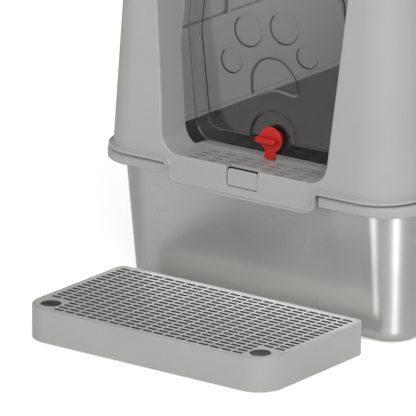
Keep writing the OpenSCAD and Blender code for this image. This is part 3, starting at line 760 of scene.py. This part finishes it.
# %% Doorway
DOOR_H = 201.0
SILL_Z = FOOT_Z + 11.2
DOOR_W, DOOR_FLARE = 101.0, math.tan(math.radians(5.8))
BACK_W, BACK_FLARE = 104.3, math.tan(math.radians(3.7))
DOOR_BACK = -HALF_D + 45.0
SILL_FALL = math.tan(math.radians(3.5))
DOOR_R = (22.0, 10.0)


def front_y(z):
    """Where the front wall's outer face is at height z."""
    return -HALF_D + (z - FOOT_Z) * FRONT_LEAN


def sill_z(y):
    """Height of the sill's face at depth y."""
    return SILL_Z - (y + HALF_D) * SILL_FALL


def opening(half, flare, low, grow):
    """One opening's right side as (x, height above the sill, radius)."""
    low, high = low - grow, DOOR_H + grow
    return mirrored([(half + low * flare + grow, low, DOOR_R[0] + grow),
                     (half + high * flare + grow, high, DOOR_R[1] + grow)])


def tunnel(grow, ahead, back):
    """The doorway as one solid: ahead is how far it starts before the front wall."""
    bm = bmesh.new()
    low = sill_z(back) - SILL_Z
    front = opening(DOOR_W, DOOR_FLARE, 0, grow)
    rear = opening(BACK_W, BACK_FLARE, low, grow)
    draw_face(bm, [(x, front_y(SILL_Z + h) - ahead, SILL_Z + h) for x, h, r in front],
              [r for x, h, r in front])
    draw_face(bm, [(x, back, SILL_Z + h) for x, h, r in rear], [r for x, h, r in rear])
    bmesh.ops.bridge_loops(bm, edges=bm.edges[:])
    bmesh.ops.recalc_face_normals(bm, faces=bm.faces)
    return bm


def ears(grow, low, y0, y1):
    """The side walls and roof that run on behind the doorway, above a lower edge that climbs to the back."""
    bm = bmesh.new()
    shape = opening(BACK_W, BACK_FLARE, 0, grow)
    face = draw_face(bm, [(x, y0, SILL_Z + h) for x, h, r in shape], [r for x, h, r in shape])
    pull(bm, face, (0, y1 - y0, 0))
    bmesh.ops.recalc_face_normals(bm, faces=bm.faces)
    made = bmesh.ops.bisect_plane(bm, geom=bm.verts[:] + bm.edges[:] + bm.faces[:],
                                  plane_co=(0, DOOR_BACK, low), plane_no=(0, EAR_SLOPE, -1), clear_outer=True)
    rim = [g for g in made["geom_cut"] if isinstance(g, bmesh.types.BMEdge)]
    bmesh.ops.holes_fill(bm, edges=rim, sides=0)
    bmesh.ops.recalc_face_normals(bm, faces=bm.faces)
    return bm


EAR_Z, EAR_SLOPE = SILL_Z + 102, 3.9
EAR_BACK = DOOR_BACK + 22
carve(hood, tunnel(WALL, -1.0, DOOR_BACK), "UNION")
carve(hood, ears(WALL, EAR_Z, DOOR_BACK - 1, EAR_BACK), "UNION")
print("hood with tunnel", len(hood.data.polygons))

# %% [markdown]
# ### Sill
#
# The sill of the doorway falls a little towards the litter, and runs on behind the tunnel as a short plate.

# %% Sill behind the doorway
SILL_START, SILL_BACK = DOOR_BACK - 3, DOOR_BACK + 28
sill_half = BACK_W - 6
bm = bmesh.new()
start_z, back_z = sill_z(SILL_START), sill_z(SILL_BACK)
face = draw_face(bm, [(-sill_half, SILL_START, start_z), (sill_half, SILL_START, start_z),
                      (sill_half, SILL_BACK, back_z), (-sill_half, SILL_BACK, back_z)], [0, 0, 3, 3])
pull(bm, face, (0, 0, -WALL))
bmesh.ops.recalc_face_normals(bm, faces=bm.faces)
carve(hood, bm, "UNION")
print("hood with sill", len(hood.data.polygons))

# %% [markdown]
# ## Apron
#
# Below the doorway the front wall runs on down over the collar. The hood's lip turns down at each side of it
# and along its lower edge, as one bead. So the lip is cut away there, the wall is drawn on down, and a bead
# with rounded turns is welded on.

# %% Apron
LIP_CUT = 129.0
BAND_Z = LIP_Z + 6
apron_low = FOOT_Z - APRON_DROP


def on_front(x, z, proud):
    """A point that stands proud of the front wall."""
    return (x, front_y(z) - proud, z)


def front_solid(shape, proud, depth, steps=8):
    """An outline of (x, z, radius) on the front wall, from proud of it to a depth behind it."""
    bm = bmesh.new()
    face = draw_face(bm, [on_front(x, z, proud) for x, z, r in shape], [r for x, z, r in shape], steps)
    pull(bm, face, (0, proud + depth, 0))
    bmesh.ops.recalc_face_normals(bm, faces=bm.faces)
    return bm


carve(hood, front_solid(mirrored([(LIP_CUT, FOOT_Z - 2, 0), (LIP_CUT, BAND_Z, 0)]), 20, 0))
plate = mirrored([(APRON_HALF - 1, apron_low + 1, 11), (APRON_HALF - 1, LIP_Z + 2, 0)])
carve(hood, front_solid(plate, 0, WALL), "UNION")
band = [(APRON_HALF, apron_low, 12), (APRON_HALF, EDGE_Z, 5), (LIP_CUT, EDGE_Z, 0), (LIP_CUT, BAND_Z, 0)]
band = to_object(front_solid(mirrored(band), LIP, 0.5), "band")
inner, past = APRON_HALF - RIDGE_W, LIP_CUT + 9
face_shape = [(inner, apron_low + RIDGE_W, 10.2), (inner, LIP_Z, 6.8), (past, LIP_Z, 0),
              (past, BAND_Z + 9, 0)]
bm = front_solid(mirrored(face_shape), 20, 0)
rim = [e for e in bm.edges
       if all(abs(v.co.y - front_y(v.co.z)) < 0.01 and v.co.z < BAND_Z for v in e.verts)]
bmesh.ops.bevel(bm, geom=rim, offset=2.0, offset_type="OFFSET", segments=4, profile=0.5, affect="EDGES",
                material=-1)
print("hollow", len(rim), "edges")
carve(band, bm)
use(hood, band, "UNION")
bead_low, bead_top = EDGE_Z + 0.6, LIP_Z + RIDGE_H
for side in (-1, 1):
    near, far = side * (inner + 5), side * (LIP_CUT + 0.5)
    bead = [(near, bead_low, 0), (far, bead_low, 0), (far, bead_top, 0), (near, bead_top, 0)]
    carve(hood, front_solid(bead, LIP, RIDGE_W - LIP), "UNION")
print("hood with apron", len(hood.data.polygons))

# %% [markdown]
# ### Openings in the hood
#
# Now that all the walls stand, the doorway is cut through them, with a window for the catch and a hole in
# the roof for the filter. A mould leaves no sharp edge round an opening, so those edges are then bevelled.
# A bevel over the whole hood would be held back by its smallest edge, so only the chosen ones are rounded.

# %% Openings in the hood
carve(hood, tunnel(0, 8.0, DOOR_BACK + 0.1))
carve(hood, ears(0, EAR_Z - 0.1, DOOR_BACK - 0.5, EAR_BACK + 1))
CATCH_HALF = 19.8
ROOF_HOLE_X, ROOF_HOLE_Y = 65, 42
window_low = catch_low.z - 0.7
window = mirrored([(CATCH_HALF, window_low, 2.5), (CATCH_HALF, SILL_Z + 4, 0)])
carve(hood, front_solid(window, 8, WALL + 5.5))
carve(hood, block((-ROOF_HOLE_X, -ROOF_HOLE_Y, ROOF_Z - 20), (ROOF_HOLE_X, ROOF_HOLE_Y, ROOF_Z + 20)))
print("hood opened", len(hood.data.polygons))


# %% Round the edges of the openings
def round_edges(piece, width, steps, chosen):
    """Bevel the sharp edges whose two ends both pass the test."""
    bm = bmesh.new()
    bm.from_mesh(piece.data)
    bmesh.ops.remove_doubles(bm, verts=bm.verts, dist=0.02 * MM)
    near = {v for v in bm.verts if v.co.y < DOOR_BACK * MM and v.co.z < (SILL_Z + DOOR_H + 20) * MM}
    inner = [e for e in bm.edges if near.issuperset(e.verts)]
    bmesh.ops.dissolve_limit(bm, angle_limit=math.radians(0.4), verts=list(near), edges=inner)
    edges = [e for e in bm.edges if len(e.link_faces) == 2 and e.calc_face_angle() > math.radians(35)
             and all(chosen(v.co / MM) for v in e.verts)]
    bmesh.ops.bevel(bm, geom=edges, offset=width * MM, offset_type="OFFSET", segments=steps, profile=0.5,
                    affect="EDGES", material=-1)
    bm.to_mesh(piece.data)
    bm.free()
    print(piece.name, "rounded", len(edges), "edges")


def on_wall(p):
    return abs(p.y - front_y(p.z)) < 0.1


def at_door_edge(p):
    return on_wall(p) and SILL_Z - 1 < p.z < SILL_Z + DOOR_H + 3 and abs(p.x) < LIP_CUT + 1


def at_roof_hole(p):
    return p.z > ROOF_Z - 0.1 and abs(p.x) < ROOF_HOLE_X + 1 and abs(p.y) < ROOF_HOLE_Y + 1


def at_window(p):
    return on_wall(p) and window_low - 1 < p.z < SILL_Z - 1 and abs(p.x) < CATCH_HALF + 0.1


round_edges(hood, 2.2, 4, at_door_edge)
round_edges(hood, 0.8, 3, at_roof_hole)
round_edges(hood, 0.5, 3, at_window)

# %% [markdown]
# ### Drain slots
#
# The sill has rows of short slots that let litter fall back. All of them are cut at once, by one drawing, and
# the cut's walls get painted shade, a darker grey for the shade inside the slots. The first row leaves out
# the three slots over the catch.

# %% Drain slots in the sill
SLOT_L, SLOT_W, SLOT_R = 12.4, 4.8, 0.9
SLOT_X, SLOT_Y, SLOT_IN = 21.4, 11.1, 5.8


def slot(bm, x, y, z, length, width, radius, depth):
    """A slot cutter with rounded corners that stands upright through height z."""
    u, v = length / 2, width / 2
    corners = [(x - u, y - v), (x + u, y - v), (x + u, y + v), (x - u, y + v)]
    face = draw_face(bm, [(*corner, z - depth / 2) for corner in corners], [radius] * 4, 3)
    pull(bm, face, (0, 0, depth))


bm = bmesh.new()
for row in range(4):
    for col in range(-3, 4):
        if row or abs(col) > 1:
            y = -HALF_D + SLOT_IN + row * SLOT_Y
            slot(bm, col * SLOT_X, y, sill_z(y), SLOT_L, SLOT_W, SLOT_R, 14)
bmesh.ops.recalc_face_normals(bm, faces=bm.faces)
# The slots' walls get painted shade.
carve(hood, bm, wall_painted_shade=sill_slot_painted_shade)
print("hood with slots", len(hood.data.polygons))

# %% [markdown]
# ### Hinges and inside
#
# Each hinge knuckle is a short barrel on a web, between the collar's two ears. Inside, a level band runs
# along each side wall, with a groove above and below it, and a rib stands on it. They show through the
# clear flap.

# %% Rear hinge knuckles
for side in (-1, 1):
    x = side * HINGE_X
    carve(hood, block((x - KNUCKLE_W / 2, HALF_D - 1, FOOT_Z),
                      (x + KNUCKLE_W / 2, hinge_y, LIP_Z)), "UNION")
    carve(hood, barrel(x, hinge_y, hinge_z, KNUCKLE_W, KNUCKLE_R), "UNION")

# %% Band inside the hood
BAND_LOW, BAND_TOP, BAND_IN = FOOT_Z + 88, FOOT_Z + 100, 12.0
GROOVE, GROOVE_IN = 2.4, 0.8
RIB_Y, RIB_W = -36.0, 4.5
for side in (-1, 1):
    wall_x = side * (HALF_W - (BAND_LOW - FOOT_Z) * SIDE_LEAN - 2)
    far, deep = side * (HALF_W - BAND_IN), wall_x + side * GROOVE_IN
    start, end = EAR_BACK, HALF_D - FOOT_R
    carve(hood, block((min(wall_x, far), start, BAND_LOW), (max(wall_x, far), end, BAND_TOP)), "UNION")
    carve(hood, block((min(deep, far), start, BAND_TOP), (max(deep, far), end, BAND_TOP + GROOVE)))
    carve(hood, block((min(deep, far), start, BAND_LOW - GROOVE / 2), (max(deep, far), end, BAND_LOW)))
    bm = block((min(wall_x, far), RIB_Y, BAND_TOP - 1), (max(wall_x, far), RIB_Y + RIB_W, ROOF_Z - 50))
    for v in bm.verts:
        v.co.x -= side * SIDE_LEAN * (v.co.z - BAND_LOW)
    carve(hood, bm, "UNION")
soften(hood, 0)
finish_piece(hood, hood_grey, "hood", "hood_plastic", "hood")

# %% [markdown]
# ## Front catch
#
# The catch is a small plate in the apron's window, which a fingertip pulls open. It is a flat face with
# rounded corners, pulled into a plate, and its edges are softened.

# %% Catch
CATCH_T, CATCH_GAP = 2, 0.8
bm = bmesh.new()
plate_half = CATCH_HALF - CATCH_GAP
face = draw_face(bm, [(-plate_half, catch_low.y, catch_low.z), (plate_half, catch_low.y, catch_low.z),
                      (plate_half, catch_low.y, catch_high.z), (-plate_half, catch_low.y, catch_high.z)],
                 [1.5, 1.5, 4, 4])
pull(bm, face, (0, CATCH_T, 0))
bmesh.ops.recalc_face_normals(bm, faces=bm.faces)
catch = to_object(bm, "catch_plate")
soften(catch, 0.5)
finish_piece(catch, hood_grey, "catch", "hood_plastic", "front_catch")

# %% [markdown]
# ## Flap
#
# The flap is one clear moulded sheet. Its middle stands forward of a flat border, with an arch round the
# latch. The sheet keeps one thickness, so a smaller panel is cut away behind. It hangs from a rolled hem on a
# steel rod.

# %% Flap
FLAP_T, PANEL_STEP, BORDER = 2.5, 2.0, 14.5
FLAP_HALF = 97.8
FOOT_CORNER, BELLY_CORNER, TOP_CORNER = 22, 60, 8
BELLY_OUT, BELLY_Z, TOP_OUT, TOP_UP = 11.6, 119, 3, 5
flap_y = flap_low.y + PANEL_STEP
flap_bottom = flap_low.z
rod_y = (rod_low.y + rod_high.y) / 2
rod_z = (rod_low.z + rod_high.z) / 2
LATCH_R, SHAFT_R, BORE_R, ARCH_R = 13.6, 4.5, 4.58, 27.6
latch_z = knob_high.z - LATCH_R


def flap_outline(inset):
    """The flap's outline as (x, z, radius), moved inwards."""
    return mirrored([
        (FLAP_HALF - inset, flap_bottom + inset, FOOT_CORNER - inset / 3),
        (FLAP_HALF + BELLY_OUT - inset, flap_bottom + BELLY_Z, BELLY_CORNER),
        (FLAP_HALF + TOP_OUT - inset, rod_z + TOP_UP - inset, TOP_CORNER - inset / 3),
    ])


def sheet_solid(shape, y0, y1, steps=10):
    """An outline of (x, z, radius) between two depths."""
    bm = bmesh.new()
    face = draw_face(bm, [(x, y0, z) for x, z, r in shape], [r for x, z, r in shape], steps)
    pull(bm, face, (0, y1 - y0, 0))
    bmesh.ops.recalc_face_normals(bm, faces=bm.faces)
    return bm


def disc(x, z, y0, y1, radius, steps=48):
    """A closed cylinder along Y."""
    bm = bmesh.new()
    bmesh.ops.create_cone(bm, cap_ends=True, segments=steps, radius1=radius, radius2=radius, depth=y1 - y0)
    bmesh.ops.rotate(bm, cent=(0, 0, 0), matrix=Matrix.Rotation(math.pi / 2, 3, "X"), verts=bm.verts)
    bmesh.ops.translate(bm, vec=(x, (y0 + y1) / 2, z), verts=bm.verts)
    return bm


front_panel = to_object(sheet_solid(flap_outline(BORDER), flap_y - PANEL_STEP, flap_y + 2.2), "front_panel")
carve(front_panel, disc(0, latch_z, flap_y - 5, flap_y + 5, ARCH_R))
soften(front_panel, 1.7, 50)
rear_panel = to_object(sheet_solid(flap_outline(BORDER + FLAP_T), flap_y - PANEL_STEP + FLAP_T, flap_y + 4),
                       "rear_panel")
carve(rear_panel, disc(0, latch_z, flap_y - 5, flap_y + 8, ARCH_R + FLAP_T))
flap = to_object(sheet_solid(flap_outline(0), flap_y, flap_y + FLAP_T), "clear_flap")
use(flap, front_panel, "UNION")
use(flap, rear_panel, "DIFFERENCE")
carve(flap, disc(0, latch_z, flap_y - 5, flap_y + 8, BORE_R))
print("flap", len(flap.data.polygons))

# %% [markdown]
# ### Paw print
#
# A paw print is pressed into the panel. Each mark is a shallow dish: a short upright edge, then a slope
# down to a flat floor. The cutter is a thin solid whose rear face is inset and then pushed in.

# %% Paw print
DISH_AHEAD, DISH_EDGE, DISH_DEPTH = 0.5, 0.2, 0.85
TOE_SLOPE, PAD_SLOPE = 1.3, 2.5
# Each toe is (x, z, half its width, half its height), and the pad is an outline of (x, z, radius).
TOES = [(-52.4, 258.9, 13.6, 13.6), (-31.5, 293.5, 17.5, 17.3), (13.5, 303.0, 18.0, 17.3),
        (42.5, 277.8, 13.7, 12.4)]
PAD = [(-28, 224, 6), (2, 236, 30), (32, 232, 6), (31, 252, 18), (12, 270, 22), (-14, 271, 22),
       (-28, 252, 20)]
panel_y = flap_y - PANEL_STEP


def dish(bm, slope):
    """Turn a solid that ends just behind the panel's face into a dish cutter with a sloping wall."""
    base = max(bm.faces, key=lambda f: f.calc_center_median().y)
    bmesh.ops.inset_region(bm, faces=[base], thickness=slope, depth=0, use_even_offset=True)
    base = max(bm.faces, key=lambda f: (round(f.calc_center_median().y, 3), f.calc_area()))
    bmesh.ops.translate(bm, vec=(0, DISH_DEPTH, 0), verts=base.verts)
    bmesh.ops.recalc_face_normals(bm, faces=bm.faces)
    return bm


for x, z, half_wide, half_high in TOES:
    bm = disc(0, 0, -DISH_AHEAD, DISH_EDGE, 1)
    bmesh.ops.scale(bm, vec=(half_wide, 1, half_high), verts=bm.verts)
    bmesh.ops.translate(bm, vec=(x, panel_y, z), verts=bm.verts)
    carve(flap, dish(bm, TOE_SLOPE))
carve(flap, dish(sheet_solid(PAD, panel_y - DISH_AHEAD, panel_y + DISH_EDGE), PAD_SLOPE))

# %% Rolled hem
HEM_R = 4.2
hem_half = FLAP_HALF - 6
carve(flap, barrel(0, rod_y, rod_z, 2 * hem_half, HEM_R, 24), "UNION")
soften(flap, 0.5)
finish_piece(flap, smoke, "flap", "smoke_clear", "flap")

# %% [markdown]
# ### Edges of the clear sheet
#
# A clear sheet is hardly seen but for its edges. Moulded edges gather the light or lose it, by the way they
# face, and that takes more light paths than a plain render has. So each narrow face gets painted shade or a
# painted highlight, by where it is and which way it faces.

# %% Edges of the clear sheet
PAW_HALF, PAW_LOW, PAW_TOP = 70, 220, 322
PAD_HALF, PAD_TOP = 36, 272.5
LAST_TOE_X, LAST_TOE_Z = 27, 264


def edge_of(spot, facing):
    """0 is the sheet itself, 1 an edge with painted shade and 2 an edge with a painted highlight."""
    if abs(facing.y) > 0.98 or spot.z > rod_z - 5:
        return 0
    way = Vector((facing.x, facing.z)).normalized()
    if abs(spot.x) < PAW_HALF and PAW_LOW < spot.z < PAW_TOP:
        at_last_toe = spot.x > LAST_TOE_X and spot.z > LAST_TOE_Z
        if abs(spot.x) < PAD_HALF and spot.z < PAD_TOP and not at_last_toe:
            return 2 if way.y > 0.35 and way.x < 0.5 else 1
        return 1 if 0.8 * way.x + 0.5 * way.y > 0.25 else 0
    if math.hypot(spot.x, spot.z - latch_z) < ARCH_R + 3:
        return 1
    return 2 if spot.y < panel_y + 0.6 else 1


# The flap's narrow faces get painted shade or a painted highlight, by the test above.
flap.data.materials.append(painted_shade_edge)
flap.data.materials.append(painted_highlight_edge)
for face in flap.data.polygons:
    face.material_index = edge_of(face.center / MM, face.normal)
print("edges", sum(1 for face in flap.data.polygons if face.material_index))

# %% [markdown]
# ## Turn latch
#
# The latch is a red disc with a grip bar across it. Its tongue hangs down to the sill, with a small foot at
# one side. Each part is softened by itself and then welded on, because one bevel over the whole would be
# held back where the parts meet.

# %% Latch
DISC_T, HUB_IN = 2.6, 4
LATCH_GAP, LATCH_DEPTH = 0.3, 6.1
GRIP_LEFT, GRIP_RIGHT, GRIP_HALF = -14.2, 10, 2.9
TONGUE_HALF, TONGUE_PROUD = 6.2, 0.8
FOOT_LEFT, FOOT_RIGHT, FOOT_LOW, FOOT_TOP = -8.0, -5, 0.8, 3.8
disc_back = flap_y - LATCH_GAP
disc_front = disc_back - LATCH_DEPTH
grip_front = knob_low.y
tongue_front, tongue_back = disc_front - TONGUE_PROUD, disc_back - 4
tongue_tip = knob_low.z
latch = to_object(disc(0, latch_z, disc_front, disc_front + DISC_T, LATCH_R, 64), "turn_latch")
soften(latch, 1.2, steps=4)
carve(latch, disc(0, latch_z, disc_front + 1, disc_back, LATCH_R - HUB_IN), "UNION")


def weld_bar(name, low, high, radii, depths, edge):
    """Weld a bar to the latch, between two (x, z) corners; the radii go round from the low one."""
    (x0, z0), (x1, z1) = low, high
    corners = list(zip((x0, x1, x1, x0), (z0, z0, z1, z1), radii))
    bar = to_object(sheet_solid(corners, *depths), name)
    soften(bar, edge)
    use(latch, bar, "UNION")


weld_bar("grip", (GRIP_LEFT, latch_z - GRIP_HALF), (GRIP_RIGHT, latch_z + GRIP_HALF), (1.5, 2.8, 2.8, 1.5),
         (grip_front, disc_front + 2), 0.9)
weld_bar("tongue", (-TONGUE_HALF, tongue_tip), (TONGUE_HALF, latch_z - 6), (1.6, 1.6, 0, 0),
         (tongue_front, tongue_back), 0.8)
weld_bar("foot", (FOOT_LEFT, tongue_tip + FOOT_LOW), (FOOT_RIGHT, tongue_tip + FOOT_TOP), (0.9, 0, 0, 0.9),
         (tongue_front + 0.6, tongue_back - 1), 0.6)
carve(latch, disc(0, latch_z, disc_back - 1, knob_high.y, SHAFT_R), "UNION")
soften(latch, 0)
finish_piece(latch, latch_red, "latch", "latch_red", "latch_knob")

# %% [markdown]
# ## Step
#
# The tray is one moulding. Its rim and its rebate are the same outline, moved inwards and down. So one face
# is drawn and pulled up, and its top is inset and sunk twice: once for the rebate that the grid lies in,
# and once for the hollow that holds the litter.

# %% Step tray
STEP_WALL, LEDGE, GRID_T, GRID_GAP = 2.4, 5.0, 2.6, 0.3
half_w = tray_high.x
step_front, step_back = tray_low.y, tray_high.y
step_low, step_top = tray_low.z, tray_high.z
FRONT_R, BACK_R = 29.0, 7.8


def step_outline(inset, z):
    """The step's outline, moved inwards, and its radii."""
    w = half_w - inset
    points = [(-w, step_front + inset, z), (w, step_front + inset, z), (w, step_back - inset, z),
              (-w, step_back - inset, z)]
    return points, [FRONT_R - inset, FRONT_R - inset, BACK_R - inset, BACK_R - inset]


bm = bmesh.new()
points, radii = step_outline(0, step_low)
face = draw_face(bm, points, radii, 12)
made = bmesh.ops.extrude_face_region(bm, geom=[face], use_keep_orig=True)
moved = [g for g in made["geom"] if isinstance(g, bmesh.types.BMVert)]
bmesh.ops.translate(bm, vec=(0, 0, step_top - step_low), verts=moved)
top = next(g for g in made["geom"] if isinstance(g, bmesh.types.BMFace))
for inset, drop in ((STEP_WALL, GRID_T + GRID_GAP),
                    (LEDGE, step_top - step_low - STEP_WALL - GRID_T - GRID_GAP)):
    bmesh.ops.inset_region(bm, faces=[top], thickness=inset, depth=0, use_even_offset=True)
    made = bmesh.ops.extrude_discrete_faces(bm, faces=[top])
    top = made["faces"][0]
    bmesh.ops.translate(bm, vec=(0, 0, -drop), verts=top.verts)
bmesh.ops.recalc_face_normals(bm, faces=bm.faces)
tray = to_object(bm, "step_tray_body")
print("tray", len(tray.data.polygons))
soften(tray, 0.9)
finish_piece(tray, step_grey, "step", "step_plastic", "step_tray")

# %% [markdown]
# ### Grid
#
# The grid is a flat plate with rows of slots and two finger holes. It lies in the rebate with a fine gap all
# round. The rows stop short of the finger holes. One drawing cuts all the slots, and the walls of the slots
# and of the finger holes get painted shade.

# %% Step grid
COLS, ROWS, PITCH_X, PITCH_Y = 21, 19, 14.0, 8.1
GRID_L, GRID_W, GRID_R = 12.0, 4.4, 1.2
FINGER_R, FINGER_IN = 10.7, 22.0
grid_mid = (step_front + step_back) / 2
bm = bmesh.new()
points, radii = step_outline(STEP_WALL + GRID_GAP, grid_low.z)
face = draw_face(bm, points, radii, 12)
pull(bm, face, (0, 0, GRID_T))
bmesh.ops.recalc_face_normals(bm, faces=bm.faces)
grid = to_object(bm, "slotted_grid")
bm = bmesh.new()
finger_x = half_w - FINGER_IN
finger_y = step_front + FINGER_IN
for col in range(COLS):
    for row in range(ROWS):
        x = (col - (COLS - 1) / 2) * PITCH_X
        y = grid_mid + (row - (ROWS - 1) / 2) * PITCH_Y
        if abs(x) < finger_x - GRID_L or y > finger_y + 1.5 * FINGER_R:
            slot(bm, x, y, grid_low.z + GRID_T / 2, GRID_L, GRID_W, GRID_R, GRID_T + 4)
bmesh.ops.recalc_face_normals(bm, faces=bm.faces)
# The walls of the slots get painted shade.
carve(grid, bm, wall_painted_shade=grid_slot_painted_shade)
# The finger holes' walls get painted shade too.
for side in (-1, 1):
    bm = bmesh.new()
    bmesh.ops.create_cone(bm, cap_ends=True, segments=40, radius1=FINGER_R, radius2=FINGER_R, depth=10)
    bmesh.ops.translate(bm, vec=(side * finger_x, finger_y, grid_low.z), verts=bm.verts)
    carve(grid, bm, wall_painted_shade=grid_slot_painted_shade)
soften(grid, 0.45, steps=2)
finish_piece(grid, step_grey, "grid", "step_plastic", "step_grid")

# %% [markdown]
# ## Parts that keep their CAD shape
#
# Pins, clips, pads and the filter's parts are right as they are. Each gets the finish of what it is made of.

# %% Finishes for the CAD nodes
FINISHES = {
    "hood_plastic": hood_grey, "collar_plastic": collar_grey, "step_plastic": step_grey,
    "tub_steel": tub_steel, "pin_steel": pin_steel, "smoke_clear": smoke, "latch_red": latch_red,
    "cap_plastic": cap_black, "carbon_felt": carbon, "pad_rubber": rubber,
}
slots = {part["node"]: part["material_slot"] for part in frame["record"]["subparts"]}
for name, node in frame["nodes"].items():
    for place in node.material_slots:
        place.material = FINISHES[slots[name]]
print("finished", len(frame["nodes"]), "nodes")
